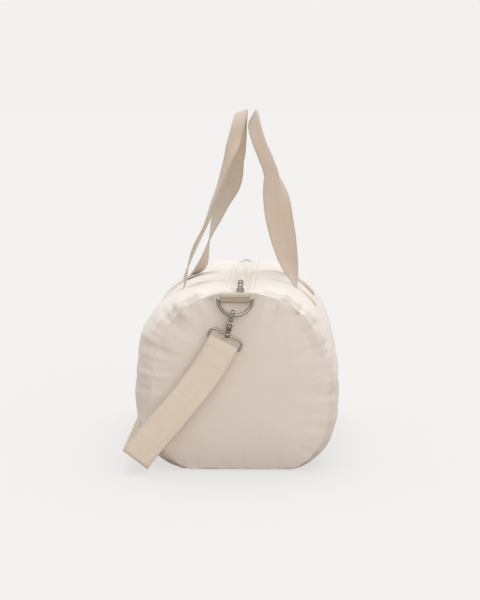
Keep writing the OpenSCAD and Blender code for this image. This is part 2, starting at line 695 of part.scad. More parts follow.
// Length adjuster: two side rails, with two bars over the strap and one under it.
// Its bars are a share of its length wide, its rails a share of the webbing's thickness.
adjuster_bar_share = 0.17;
adjuster_rail_share = 1.25;
module strap_adjuster() {
  bar_t = web_t;
  bar_w = adjuster_bar_share * adjuster_l;
  rail_w = adjuster_rail_share * web_t;
  bar_gap = web_t / 2 + clear;
  rail_h = 2 * (bar_gap + bar_t);
  color(nickel_colour) translate([run_x, adjuster_y, run_z]) rotate([0, side_lean, 0]) {
    for (side = [-1, 1]) translate([side * (web_w + rail_w + 2 * clear) / 2, 0, 0])
      cube([rail_w, adjuster_l, rail_h], center = true);
    for (place = [-1, 0, 1])
      translate([0, place * (adjuster_l - bar_w) / 2,
        (place == 0 ? -1 : 1) * (bar_gap + bar_t / 2)])
        cube([web_w + 2 * clear, bar_w, bar_t], center = true);
  }
}

main_panel();
front_end_panel();
rear_end_panel();
front_seam_binding();
rear_seam_binding();
zip_tape_left();
zip_tape_right();
zip_coil_left();
zip_coil_right();
front_zip_stop();
rear_zip_stop();
zip_slider();
zip_pull();
left_handle_ends();
right_handle_ends();
left_handle();
right_handle();
front_ring_tab();
rear_ring_tab();
front_ring();
rear_ring();
shoulder_strap();
strap_adjuster();
front_bail();
rear_bail();
front_hook();
rear_hook();
front_swivel_stud();
rear_swivel_stud();
front_gate();
rear_gate();
front_gate_pin();
rear_gate_pin();
front_gate_spring();
rear_gate_spring();
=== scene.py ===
"""Canvas barrel bag, dressed for its pictures.

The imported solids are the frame. The cloth pieces (canvas body, end panels, webbing handles and
strap, ring tabs, zip tapes) are made again here as real fabric, and the metal pieces keep their
solids and get a nickel finish. Sizes are in millimetres and turned to metres as meshes are made.
"""
import logging
import math
from dataclasses import dataclass
from enum import Enum
from typing import Optional, Sequence

import bpy
import numpy as np
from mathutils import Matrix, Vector, noise
from mathutils.bvhtree import BVHTree
from mathutils.kdtree import KDTree


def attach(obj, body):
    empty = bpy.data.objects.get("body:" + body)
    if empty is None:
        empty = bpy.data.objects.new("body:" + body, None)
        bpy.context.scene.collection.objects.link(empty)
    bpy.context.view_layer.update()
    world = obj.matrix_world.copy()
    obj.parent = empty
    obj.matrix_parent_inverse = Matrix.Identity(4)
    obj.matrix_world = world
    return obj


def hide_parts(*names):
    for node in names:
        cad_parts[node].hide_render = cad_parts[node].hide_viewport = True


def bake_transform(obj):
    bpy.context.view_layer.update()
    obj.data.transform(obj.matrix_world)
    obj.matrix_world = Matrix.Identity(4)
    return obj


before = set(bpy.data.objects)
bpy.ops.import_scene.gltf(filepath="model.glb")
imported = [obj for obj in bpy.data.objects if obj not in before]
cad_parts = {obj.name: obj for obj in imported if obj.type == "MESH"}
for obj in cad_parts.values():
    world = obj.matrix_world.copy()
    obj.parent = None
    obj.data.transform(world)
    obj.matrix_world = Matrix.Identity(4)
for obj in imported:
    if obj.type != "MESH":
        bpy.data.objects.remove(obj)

MM = 0.001
WAVE_MM = 314.0  # Spacing of a wave texture's bands, times its scale
SLUB_THREADS = 3  # Width of a slub, in threads
SLUB_LONG_MM = 70.0  # Length of a slub
EDGE_CORD_MM = 1.2  # Width of the darker strip at a woven edge
BLOTCH_SCALE = 16.0  # Noise of the cotton's yellower blotches
CREASE_SCALE = 28.0  # Noise of the hand creases
PATCH_SCALE = 120.0  # Noise of the dull patches on metal
MARK_DEPTH_MM = 0.05  # Depth of the fine marks on metal and nylon
SEED = 5  # Of the noise vectors, which are otherwise seeded by the clock
# How the canvas settles: light, well damped, and longer where it has spare cloth
CLOTH = {
    "quality": 6, "mass": 0.25, "air_damping": 3.0, "tension_stiffness": 20,
    "compression_stiffness": 20, "shear_stiffness": 8, "bending_stiffness": 0.25,
    "vertex_group_mass": "held", "vertex_group_shrink": "ease", "shrink_min": 0.0,
    "shrink_max": -0.07, "use_pressure": True, "uniform_pressure_force": 0.5}

logging.basicConfig(level=logging.INFO, format="%(name)s: %(message)s")
log = logging.getLogger("barrel_bag")


class Side(Enum):
    """Side of the bag, as the sign of X."""

    LEFT = -1
    RIGHT = 1


class End(Enum):
    """End of the bag, as the sign of Y."""

    FRONT = -1
    REAR = 1

    @property
    def word(self) -> str:
        """Name of the end as the nodes write it."""
        return self.name.lower()


# Finishes


def linear(code: str) -> tuple[float, float, float, float]:
    """Turns an sRGB hex value into the linear colour that a shader takes.

    Args:
        code: Six hex digits.

    Returns:
        Red, green, blue and 1.
    """
    parts = [int(code[i:i + 2], 16) / 255 for i in (0, 2, 4)]
    return (*[c / 12.92 if c <= 0.04045 else ((c + 0.055) / 1.055) ** 2.4 for c in parts], 1.0)


def add_node(tree: bpy.types.NodeTree, kind: str, inputs: Optional[dict] = None,
             **settings: object) -> bpy.types.Node:
    """Adds a node with its settings, values and links.

    Args:
        tree: Node tree of the material.
        kind: Blender's name for the node.
        inputs: Value or output socket for each input, by name or number.
        **settings: Properties of the node.

    Returns:
        The node.
    """
    made = tree.nodes.new(kind)
    for key, value in settings.items():
        setattr(made, key, value)
    for key, value in (inputs or {}).items():
        if isinstance(value, bpy.types.NodeSocket):
            tree.links.new(value, made.inputs[key])
        else:
            made.inputs[key].default_value = value
    return made


def blank_material(name: str, values: dict) -> tuple[bpy.types.Material, bpy.types.Node]:
    """Makes a node material with its shader.

    Args:
        name: Name of the material.
        values: Value of each socket of the shader that is the same all over the surface.

    Returns:
        The material and its shader.
    """
    made = bpy.data.materials.new(name)
    made.use_nodes = True
    shader = made.node_tree.nodes["Principled BSDF"]
    for key, value in values.items():
        shader.inputs[key].default_value = value
    return made, shader


@dataclass(frozen=True)
class WovenFinish:
    """Cotton or polyester cloth whose weave follows the piece's own UV map, which is in metres.

    Attributes:
        name: Name of the material.
        pale: Colour of the face of the threads.
        shaded: Colour between the threads, painted shade in the gaps of the weave, and in the dull
            slubs.
        warp_mm: Spacing of the threads that run along the piece.
        weft_mm: Spacing of the threads that run across it.
        relief_mm: Depth of the weave.
        slub: How strongly thick and thin threads show, from 0 to 1.
        sheen: Weight of the soft fuzz.
        selvedge_mm: Half width at which the woven edge ends, or 0 for cut cloth.
        creases_mm: Depth of the soft hand creases over the whole piece.
    """

    name: str
    pale: str
    shaded: str
    warp_mm: float
    weft_mm: float
    relief_mm: float
    slub: float
    sheen: float = 0.25
    selvedge_mm: float = 0.0
    creases_mm: float = 0.0

    def build(self) -> bpy.types.Material:
        """Makes the material: threads both ways, slubs, blotches, fuzz and the edge.

        Returns:
            The material.
        """
        made, shader = blank_material(self.name, {
            "Roughness": 0.88, "Specular IOR Level": 0.2, "Sheen Weight": self.sheen,
            "Sheen Roughness": 0.55})
        tree = made.node_tree
        uv = add_node(tree, "ShaderNodeUVMap").outputs["UV"]
        threads, streaks = [], []
        for axis, spacing in enumerate((self.warp_mm, self.weft_mm)):
            wave = add_node(tree, "ShaderNodeTexWave", {
                "Vector": uv, "Scale": WAVE_MM / spacing, "Distortion": 0.6, "Detail": 1.0,
                "Detail Scale": 0.4}, wave_type="BANDS", bands_direction="XY"[axis])
            threads.append(wave.outputs["Fac"])
            # Slubs are noise drawn out along the threads and wide enough to show
            scale = [1 / (SLUB_LONG_MM * MM), 1 / (SLUB_LONG_MM * MM), 1]
            scale[axis] = 1 / (spacing * SLUB_THREADS * MM)
            drawn = add_node(tree, "ShaderNodeMapping", {"Vector": uv, "Scale": scale})
            streaks.append(add_node(tree, "ShaderNodeTexNoise", {
                "Vector": drawn.outputs[0], "Scale": 1.0, "Detail": 2.0}).outputs["Fac"])
        # Where the threads cross low the colour goes to the shaded tone: painted shade in the gaps
        # of the weave
        weave = add_node(tree, "ShaderNodeMath", {0: threads[0], 1: threads[1]},
                         operation="MULTIPLY").outputs[0]
        slubs = add_node(tree, "ShaderNodeMath", {0: streaks[0], 1: streaks[1]},
                         operation="ADD").outputs[0]
        slubs = add_node(tree, "ShaderNodeMapRange", {
            "Value": slubs, "From Min": 0.7, "From Max": 1.3,
            "To Min": -self.slub, "To Max": self.slub}).outputs[0]
        # Blotches about 60 mm wide, where undyed cotton is a little yellower
        place = add_node(tree, "ShaderNodeTexCoord").outputs["Object"]
        blotch = add_node(tree, "ShaderNodeTexNoise", {
            "Vector": place, "Scale": BLOTCH_SCALE, "Detail": 3.0}).outputs["Fac"]
        tone = add_node(tree, "ShaderNodeMath", {0: weave, 1: slubs}, operation="ADD").outputs[0]
        tone = add_node(tree, "ShaderNodeMath", {0: blotch, 1: 0.35, 2: tone},
                        operation="MULTIPLY_ADD").outputs[0]
        if self.selvedge_mm:
            across = add_node(tree, "ShaderNodeSeparateXYZ", {0: uv}).outputs[0]
            reach = add_node(tree, "ShaderNodeMath", {0: across}, operation="ABSOLUTE").outputs[0]
            edge = add_node(tree, "ShaderNodeMapRange", {
                "Value": reach, "From Min": (self.selvedge_mm - EDGE_CORD_MM) * MM,
                "From Max": self.selvedge_mm * MM, "To Min": 0.0, "To Max": -0.5}).outputs[0]
            tone = add_node(tree, "ShaderNodeMath", {0: tone, 1: edge},
                            operation="ADD").outputs[0]
        share = add_node(tree, "ShaderNodeMapRange", {
            "Value": tone, "From Min": -0.5, "From Max": 1.2}).outputs[0]
        colour = add_node(tree, "ShaderNodeMix", {
            "Factor": share, 6: linear(self.shaded), 7: linear(self.pale)}, data_type="RGBA")
        tree.links.new(colour.outputs[2], shader.inputs["Base Color"])
        height = add_node(tree, "ShaderNodeMath", {0: slubs, 1: 0.5, 2: weave},
                          operation="MULTIPLY_ADD").outputs[0]
        bump = add_node(tree, "ShaderNodeBump", {
            "Height": height, "Strength": 0.7, "Distance": self.relief_mm * MM})
        if self.creases_mm:
            crease = add_node(tree, "ShaderNodeTexNoise", {
                "Vector": place, "Scale": CREASE_SCALE, "Detail": 4.0, "Roughness": 0.6,
                "Distortion": 0.4}, noise_type="FBM").outputs["Fac"]
            bump = add_node(tree, "ShaderNodeBump", {
                "Height": crease, "Strength": 0.6, "Distance": self.creases_mm * MM,
                "Normal": bump.outputs[0]})
        tree.links.new(bump.outputs[0], shader.inputs["Normal"])
        return made


@dataclass(frozen=True)
class PlatedFinish:
    """Plated or drawn metal, with fine marks and a few dull patches from handling.

    Attributes:
        name: Name of the material.
        colour: Colour of the reflection, seen squarely.
        edge: Painted reflection colour, darker, that the metal takes where it turns away from the
            eye.
        gloss: Roughness of the clean plate.
        dull: Roughness where it is handled.
        grain_mm: Size of the marks.
    """

    name: str
    colour: str
    edge: str
    gloss: float
    dull: float
    grain_mm: float

    def build(self) -> bpy.types.Material:
        """Makes the material.

        Returns:
            The material.
        """
        made, shader = blank_material(self.name, {"Metallic": 1.0})
        tree = made.node_tree
        place = add_node(tree, "ShaderNodeTexCoord").outputs["Object"]
        patches = add_node(tree, "ShaderNodeTexNoise", {
            "Vector": place, "Scale": PATCH_SCALE, "Detail": 3.0}).outputs["Fac"]
        rough = add_node(tree, "ShaderNodeMapRange", {
            "Value": patches, "From Min": 0.35, "From Max": 0.7, "To Min": self.gloss,
            "To Max": self.dull})
        tree.links.new(rough.outputs[0], shader.inputs["Roughness"])
        marks = add_node(tree, "ShaderNodeTexNoise", {
            "Vector": place, "Scale": 1000 / self.grain_mm, "Detail": 2.0}).outputs["Fac"]
        bump = add_node(tree, "ShaderNodeBump", {
            "Height": marks, "Strength": 0.15, "Distance": MARK_DEPTH_MM * MM})
        tree.links.new(bump.outputs[0], shader.inputs["Normal"])
        # Painted reflection: where a rounded piece turns away from the eye its colour darkens, as
        # if it mirrored an unlit room
        turned = add_node(tree, "ShaderNodeLayerWeight", {"Blend": 0.35}).outputs["Facing"]
        colour = add_node(tree, "ShaderNodeMix", {
            "Factor": turned, 6: linear(self.colour), 7: linear(self.edge)}, data_type="RGBA")
        tree.links.new(colour.outputs[2], shader.inputs["Base Color"])
        return made


@dataclass(frozen=True)
class MouldedFinish:
    """Moulded nylon, a little waxy, with the fine texture of its mould.

    Attributes:
        name: Name of the material.
        colour: Colour of the nylon.
        roughness: Roughness of its surface.
        grain_mm: Size of the mould's texture.
    """

    name: str
    colour: str
    roughness: float
    grain_mm: float

    def build(self) -> bpy.types.Material:
        """Makes the material.

        Returns:
            The material.
        """
        made, shader = blank_material(self.name, {
            "Base Color": linear(self.colour), "Roughness": self.roughness})
        tree = made.node_tree
        place = add_node(tree, "ShaderNodeTexCoord").outputs["Object"]
        grain = add_node(tree, "ShaderNodeTexNoise", {
            "Vector": place, "Scale": 1000 / self.grain_mm, "Detail": 1.0}).outputs["Fac"]
        bump = add_node(tree, "ShaderNodeBump", {
            "Height": grain, "Strength": 0.2, "Distance": MARK_DEPTH_MM * MM})
        tree.links.new(bump.outputs[0], shader.inputs["Normal"])
        return made


class Finishes:
    """All the finishes of the bag, each made once."""

    def __init__(self) -> None:
        """Makes every material."""
        # Undyed 10 oz cotton duck: off-white, plain weave, matt, with slubs
        self.canvas = WovenFinish(
            "undyed_cotton_canvas", "F1EAE1", "DDD2C5", warp_mm=1.3, weft_mm=1.2,
            relief_mm=0.15, slub=0.08, sheen=0.2, creases_mm=0.7).build()
        # Undyed cotton webbing: heavier, yellower ribs along its length, drawn at 2 mm. The
        # handles and ring tabs use darker copies of the same webbing, the tabs darker again:
        # painted shade
        self.webbing, self.handle_webbing, self.tab_webbing = [
            WovenFinish(name, pale, shaded, warp_mm=2.0, weft_mm=1.6, relief_mm=0.25, slub=0.15,
                        sheen=0.3, selvedge_mm=17.4).build()
            for name, pale, shaded in (("undyed_cotton_webbing", "F3E8D5", "DACEBB"),
                                       ("handle_cotton_webbing_painted_shade", "D9C9B4", "C1B2A0"),
                                       ("tab_cotton_webbing_painted_shade", "C4B6A2", "AFA290"))]
        # Cotton twill tape over the inside seams
        self.twill = WovenFinish("cotton_twill_tape", "DDD6C9", "C4BBAC", warp_mm=0.9,
                                 weft_mm=1.4, relief_mm=0.15, slub=0.2).build()
        # Polyester zip tape: smoother and a little cooler than the cotton
        self.zip_tape = WovenFinish("polyester_zip_tape", "ECE7DC", "D8D1C3", warp_mm=0.8,
                                    weft_mm=0.8, relief_mm=0.1, slub=0.15, sheen=0.15).build()
        # Spun polyester sewing thread
        self.thread = WovenFinish("sewing_thread", "E4DCCD", "BFB4A2", warp_mm=0.5, weft_mm=0.5,
                                  relief_mm=0.05, slub=0.1, sheen=0.35).build()
        self.coil = MouldedFinish("moulded_nylon_coil", "E9E2D5", roughness=0.42,
                                  grain_mm=0.4).build()
        # Polished nickel plate on zinc castings and steel wire: warm grey mirror, its rims
        # darkened by a painted reflection
        self.nickel = PlatedFinish("nickel_plate", "B4ABA0", "2A2420", gloss=0.16, dull=0.3,
                                   grain_mm=0.4).build()
        # Drawn steel of pins, springs and studs, duller than the plate, its rims darkened by a
        # painted reflection
        self.steel = PlatedFinish("drawn_steel", "A8A49C", "35302C", gloss=0.3, dull=0.45,
                                  grain_mm=0.3).build()


# Mesh tools


def unit(v: np.ndarray) -> np.ndarray:
    """Vectors along the last axis, made one long."""
    return v / np.maximum(np.linalg.norm(v, axis=-1, keepdims=True), 1e-12)


def deselect() -> None:
    """Leaves edit mode and deselects every object."""
    if bpy.context.object and bpy.context.object.mode != "OBJECT":
        bpy.ops.object.mode_set(mode="OBJECT")
    bpy.ops.object.select_all(action="DESELECT")


def activate(piece: bpy.types.Object) -> None:
    """Selects one object alone and makes it active.

    Args:
        piece: The piece.
    """
    deselect()
    piece.select_set(True)
    bpy.context.view_layer.objects.active = piece


def apply_modifiers(piece: bpy.types.Object) -> None:
    """Applies every modifier of a piece, in order.

    Args:
        piece: The piece.
    """
    activate(piece)
    for modifier in list(piece.modifiers):
        bpy.ops.object.modifier_apply(modifier=modifier.name)


def lay_grid(name: str, points: np.ndarray, uv: np.ndarray) -> bpy.types.Object:
    """Adds a grid primitive and lays its points out, as cloth is laid on a form.

    Args:
        name: Name of the piece.
        points: Places in millimetres, rows by columns by 3.
        uv: Places on the flat cloth in millimetres, rows by columns by 2.

    Returns:
        The piece, with a UV map in metres.
    """
    rows, cols = points.shape[:2]
    deselect()
    bpy.ops.mesh.primitive_grid_add(x_subdivisions=cols - 1, y_subdivisions=rows - 1, size=1)
    piece = bpy.context.object
    piece.name = name
    piece.data.name = name
    piece.data.vertices.foreach_set("co", (points * MM).astype(np.float32).ravel())
    corner = np.empty(len(piece.data.loops), int)
    piece.data.loops.foreach_get("vertex_index", corner)
    flat = (uv * MM).reshape(-1, 2)[corner]
    piece.data.uv_layers[0].data.foreach_set("uv", flat.astype(np.float32).ravel())
    piece.data.update()
    return piece


def subdivide(piece: bpy.types.Object) -> None:
    """Smooths a piece by one level of subdivision.

    Args:
        piece: The piece.
    """
    smooth = piece.modifiers.new("smooth", "SUBSURF")
    smooth.levels = smooth.render_levels = 1
    apply_modifiers(piece)


def thicken(piece: bpy.types.Object, thickness: float, offset: float = 0.0) -> None:
    """Gives a cloth piece its thickness, with firm edges.

    Args:
        piece: Grid piece.
        thickness: Thickness in millimetres.
        offset: -1 grows inward, 0 both ways, 1 outward.
    """
    solid = piece.modifiers.new("thickness", "SOLIDIFY")
    solid.thickness = thickness * MM
    solid.offset = offset
    apply_modifiers(piece)
    bpy.ops.object.shade_smooth_by_angle(angle=math.radians(60))


def places(piece: bpy.types.Object) -> np.ndarray:
    """Places of a piece's points, in millimetres.

    Args:
        piece: The piece.

    Returns:
        The places, one row each.
    """
    flat = np.empty(len(piece.data.vertices) * 3, np.float32)
    piece.data.vertices.foreach_get("co", flat)
    return flat.reshape(-1, 3) / MM


def move_to(piece: bpy.types.Object, points: np.ndarray) -> None:
    """Moves a piece's points to places in millimetres."""
    piece.data.vertices.foreach_set("co", (points * MM).astype(np.float32).ravel())
    piece.data.update()


def ripple(*at: np.ndarray) -> np.ndarray:
    """Smooth noise from about -1 to 1 at places given by up to three arrays."""
    grid = np.stack(np.broadcast_arrays(*at, *[0.0] * (3 - len(at))), -1)
    return np.array([noise.noise(Vector(place)) for place in grid])


def ramp(value: np.ndarray, start: float, span: float) -> np.ndarray:
    """Share of a span that a value has gone from its start, between 0 and 1."""
    return np.clip((value - start) / span, 0, 1)


def point_tree(points: np.ndarray) -> KDTree:
    """Search tree over some points, numbered in their order.

    Args:
        points: Places in millimetres, one row each.

    Returns:
        The tree.
    """
    tree = KDTree(len(points))
    for index, point in enumerate(points):
        tree.insert(point, index)
    tree.balance()
    return tree


def take_model() -> tuple[np.ndarray, list[list[int]]]:
    """Takes the points and faces of the small model in edit mode, and removes the model.

    Returns:
        Its points and faces.
    """
    model = bpy.context.object
    bpy.ops.object.mode_set(mode="OBJECT")
    points = np.array([v.co for v in model.data.vertices])
    faces = [list(p.vertices) for p in model.data.polygons]
    bpy.data.objects.remove(model)
    return points, faces


def join_copies(name: str, copies: Sequence[np.ndarray],
                faces: list[list[int]]) -> bpy.types.Object:
    """Joins copies of a small model into one piece, which is left active.

    Args:
        name: Name of the piece.
        copies: Points of each copy, in millimetres.
        faces: Faces of the model.

    Returns:
        The piece.
    """
    count = len(copies[0])
    mesh = bpy.data.meshes.new(name)
    mesh.from_pydata((np.concatenate(copies) * MM).tolist(), [],
                     [[k * count + i for i in face] for k in range(len(copies)) for face in faces])
    piece = bpy.data.objects.new(name, mesh)
    bpy.context.collection.objects.link(piece)
    activate(piece)
    return piece


def dress(piece: bpy.types.Object, material: bpy.types.Material) -> None:
    """Gives a piece its only material, and reports it.

    Args:
        piece: The piece.
        material: Its material.
    """
    piece.data.materials.append(material)
    log.info("%s: %d faces, %s", piece.name, len(piece.data.polygons), material.name)


def arc_lengths(points: np.ndarray) -> np.ndarray:
    """Distance along a polyline at each of its points."""
    return np.concatenate([[0], np.cumsum(np.linalg.norm(np.diff(points, axis=0), axis=1))])


def flat_places(across: np.ndarray, along: np.ndarray) -> np.ndarray:
    """Places on the flat cloth, one row for each distance along it."""
    return np.stack(np.broadcast_arrays(across[None, :], along[:, None]), -1)


def resample(points: np.ndarray, at: np.ndarray) -> np.ndarray:
    """Points of a polyline at given distances along it."""
    along = arc_lengths(points)
    return np.stack([np.interp(at, along, points[:, k]) for k in range(points.shape[1])], 1)


def smooth_curve(points: np.ndarray, steps: int) -> np.ndarray:
    """Runs a smooth curve through points or other values, a number of steps to each span.

    Args:
        points: Control values, one row each.
        steps: Samples for each span.

    Returns:
        The samples, ends included.
    """
    p = np.concatenate([[2 * points[0] - points[1]], points, [2 * points[-1] - points[-2]]])
    t = np.linspace(0, 1, steps, endpoint=False)[:, None]
    spans = []
    for i in range(1, len(p) - 2):
        a, b, c, d = p[i - 1], p[i], p[i + 1], p[i + 2]
        spans.append(0.5 * (2 * b + (c - a) * t + (2 * a - 5 * b + 4 * c - d) * t ** 2
                            + (3 * b - a - 3 * c + d) * t ** 3))
    return np.concatenate(spans + [points[-1:]])


@dataclass
class Ribbon:
    """Webbing laid along a path, whose two halves may swing together into a folded grip.

    Attributes:
        path: Middle of the webbing, in millimetres.
        across: Direction across the webbing at each point, from the crease to the open edges
            where it is folded.
        halves: Angles of the two halves from that direction at each point, in degrees. Flat
            webbing has 180 and 0.
        inner: Sign of the side to which the second half swings.
        width: Width of the open webbing.
        thickness: Thickness of the webbing.
        centred: How far the crease moves aside to keep the webbing centred on its path.
        drawn_in: Share of its width that the doubled grip loses where it is sewn together.
        apart: Gap between the halves of the closed grip.
        crease_mm: Distance from the crease over which that gap opens.
    """

    path: np.ndarray
    across: np.ndarray
    halves: Optional[np.ndarray] = None
    inner: int = 1
    width: float = 38.0
    thickness: float = 1.6
    centred: float = 0.96
    drawn_in: float = 0.08
    apart: float = 0.35
    crease_mm: float = 3.0

    def columns(self) -> np.ndarray:
        """Places across the width, closer together at the woven edges and at the crease."""
        half = np.array([0, 0.06, 0.2, 0.4, 0.6, 0.8, 0.95, 1.0])
        return np.concatenate([-half[:0:-1], half]) * self.width / 2

    def points(self) -> np.ndarray:
        """Grid of points over the webbing, rows along the path.

        Returns:
            The places, in millimetres.
        """
        tangent = unit(np.gradient(self.path, axis=0))
        side = unit(self.across - (self.across * tangent).sum(1, keepdims=True) * tangent)
        normal = np.cross(tangent, side) * self.inner
        halves = [[180.0, 0.0]] * len(self.path) if self.halves is None else self.halves
        angles = np.radians(halves)
        s = self.columns()
        tips = np.concatenate([np.cos(angles), np.zeros((len(angles), 1))], 1)
        middle = (tips.max(1) + tips.min(1)) / 2 * self.width / 2 * self.centred
        crease = self.path - side * middle[:, None]
        closed = np.clip(1 - (angles[:, 0] - angles[:, 1]) / (np.pi / 2), 0, 1)[:, None, None]
        reach = np.abs(s)[None, :, None] * (1 - self.drawn_in * closed)
        gap = (self.thickness + self.apart) / 2 * closed * ramp(reach, 0, self.crease_mm)
        sheets = []
        for half, way in ((0, -1.0), (1, 1.0)):
            a = angles[:, half, None]
            ray = side * np.cos(a) - normal * np.sin(a)
            sheets.append(crease[:, None] + ray[:, None] * reach + way * gap * normal[:, None])
        return np.where(s[None, :, None] < 0, sheets[0], sheets[1])

    def build(self, name: str) -> bpy.types.Object:
        """Makes the webbing as a piece with its flat width and length in its UV map.

        Args:
            name: Name of the piece.

        Returns:
            The piece.
        """
        piece = lay_grid(name, self.points(), flat_places(self.columns(), arc_lengths(self.path)))
        solid = piece.modifiers.new("thickness", "SOLIDIFY")
        solid.thickness = self.thickness * MM
        solid.offset = 0.0
        subdivide(piece)
        bpy.ops.object.shade_smooth()
        return piece


def surface(*pieces: bpy.types.Object) -> BVHTree:
    """Search tree over the faces of some pieces, in millimetres.

    Args:
        *pieces: The pieces.

    Returns:
        The tree.
    """
    verts, faces = [], []
    for piece in pieces:
        base = len(verts)
        verts += places(piece).tolist()
        faces += [[base + i for i in face.vertices] for face in piece.data.polygons]
    return BVHTree.FromPolygons(verts, faces)


def box(wide: float, low: float, high: float, steps: int, cross: bool = False) -> list[np.ndarray]:
    """Lines of a box of stitches on webbing.

    Args:
        wide: Half the width of the box.
        low: Where it starts along the webbing.
        high: Where it ends.
        steps: Points in each line.
        cross: Whether a cross is sewn inside it.

    Returns:
        The lines, as places across and along the webbing.
    """
    corner = np.array([(-wide, low), (wide, low), (wide, high), (-wide, high)])
    pairs = [(0, 1), (1, 2), (2, 3), (3, 0)] + [(0, 2), (1, 3)] * cross
    t = np.linspace(0, 1, steps)[:, None]
    return [corner[a] + (corner[c] - corner[a]) * t for a, c in pairs]


class Stitches:
    """Rows of stitches: one stitch is modelled, then copied along each row."""

    def __init__(self, length: float = 2.8, gap: float = 1.2, thick: float = 0.7,
                 proud: float = 0.12) -> None:
        """Models the stitch from a low sphere, drawn out to its length.

        Args:
            length: Length of a stitch, in millimetres.
            gap: Gap between stitches.
            thick: Thickness of the thread.
            proud: Height of its middle over the cloth.
        """
        self.pitch = length + gap
        self.proud = proud
        deselect()
        bpy.ops.mesh.primitive_uv_sphere_add(segments=6, ring_count=4, radius=0.5)
        bpy.ops.object.mode_set(mode="EDIT")
        bpy.ops.mesh.select_all(action="SELECT")
        bpy.ops.transform.rotate(value=math.pi / 2, orient_axis="Y", center_override=(0, 0, 0))
        bpy.ops.transform.resize(value=(length, thick, thick * 0.7))
        self.points, self.faces = take_model()
        self.rows: list[tuple[np.ndarray, np.ndarray]] = []

    def row(self, points: np.ndarray, cloth: BVHTree) -> None:
        """Adds a row, laid on the cloth.

        Args:
            points: Polyline just outside the cloth, in millimetres.
            cloth: Search tree of the cloth.
        """
        along = arc_lengths(points)
        at = np.linspace(0, along[-1], max(8, int(along[-1] / 2)))
        laid, ups = [], []
        for point in resample(points, at):
            place, normal, _, _ = cloth.find_nearest(Vector(point))
            if normal.dot(Vector(point) - place) < 0:
                normal = -normal
            laid.append(place + normal * self.proud)
            ups.append(normal)
        self.rows.append((np.array(laid), np.array(ups)))

    def build(self, name: str) -> bpy.types.Object:
        """Copies the stitch along every row and joins the copies into one piece.

        Args:
            name: Name of the piece.

        Returns:
            The piece.
        """
        copies = []
        for points, normals in self.rows:
            along = arc_lengths(points)
            count = max(1, int(along[-1] / self.pitch))
            at = (np.arange(count) + 0.5) * along[-1] / count
            middle = resample(points, at)
            t = unit(resample(points, np.minimum(at + 1, along[-1]))
                     - resample(points, np.maximum(at - 1, 0)))
            up = np.stack([np.interp(at, along, normals[:, k]) for k in range(3)], 1)
            up = unit(up - (up * t).sum(1, keepdims=True) * t)
            turned = np.stack([t, np.cross(up, t), up], 1)
            copies += [middle[k] + self.points @ turned[k] for k in range(count)]
        piece = join_copies(name, copies, self.faces)
        uv = piece.data.uv_layers.new(name="UVMap")
        corner = np.empty(len(piece.data.loops), int)
        piece.data.loops.foreach_get("vertex_index", corner)
        flat = np.tile(self.points[:, :2] * MM, (len(copies), 1))[corner]
        uv.data.foreach_set("uv", flat.astype(np.float32).ravel())
        bpy.ops.object.shade_smooth()
        return piece


# The canvas


@dataclass
class Barrel:
    """Outline of the barrel, with the sizes and the curve that the solids have."""

    length: float = 450.0
    end_width: float = 220.0
    height: float = 220.0
    left_bulge: float = 22.0
    right_bulge: float = 11.0
    widest: float = 100.0
    press: float = 5.0
    dome: float = 9.0
    zip_gap: float = 18.0
    zip_width: float = 44.0
    shoulder_power: float = 2.2
    end_belly_power: float = 2.8
    mid_belly_power: float = 3.8
    bulge_power: float = 10.0
    settle_power: float = 2.0
    handle_y: float = 75.0
    tab_x: float = -5.6

    @property
    def end_y(self) -> float:
        """Distance of an end seam from the middle."""
        return self.length / 2

    @property
    def ground_angle(self) -> float:
        """Angle at which the outline reaches the ground, in degrees."""
        share = self.widest / (self.widest + self.press)
        return math.degrees(math.asin(share ** (self.end_belly_power / 2)))

    def skin(self, side: int, angle: float, place: float, depth: float = 0.0) -> np.ndarray:
        """Point on the barrel.

        Args:
            side: -1 for the left, 1 for the right.
            angle: Degrees from the widest place, negative below it.
            place: Place along the barrel, from -1 to 1.
            depth: Distance inside the surface.

        Returns:
            The point, in millimetres.
        """
        mid = 1 - abs(place) ** self.bulge_power
        bulge = self.left_bulge if side < 0 else self.right_bulge
        half = self.end_width / 2 + bulge * mid
        settled = 1 - abs(place) ** self.settle_power
        belly = self.end_belly_power + (self.mid_belly_power - self.end_belly_power) * settled
        power = belly if angle < 0 else self.shoulder_power
        reach = self.widest + self.press if angle < 0 else self.height - self.widest
        a = math.radians(angle)
        out = (half - depth - self.zip_width / 2) * abs(math.cos(a)) ** (2 / power)
        rise = (reach - depth) * abs(math.sin(a)) ** (2 / power) * (1 if a > 0 else -1)
        return np.array([side * (self.zip_width / 2 + out), place * self.end_y,
                         max(depth, self.widest + rise)])

    def ring(self, place: float, count: int, depth: float = 0.0) -> np.ndarray:
        """Outline at one place, evenly spaced from the left zip edge round to the right one.

        Args:
            place: Place along the barrel, from -1 to 1.
            count: Number of points.
            depth: Distance inside the surface.

        Returns:
            The points, in millimetres.
        """
        angles = np.concatenate([np.linspace(90, 0, 60),
                                 np.linspace(0, -self.ground_angle, 50)[1:]])
        left = [self.skin(-1, a, place, depth) for a in angles]
        right = [self.skin(1, a, place, depth) for a in angles[::-1]]
        edge = [np.array([s * self.zip_gap / 2, place * self.end_y, self.height - depth])
                for s in (-1, 1)]
        whole = np.array([edge[0], *left, *right, edge[1]])
        return resample(whole, np.linspace(0, arc_lengths(whole)[-1], count))


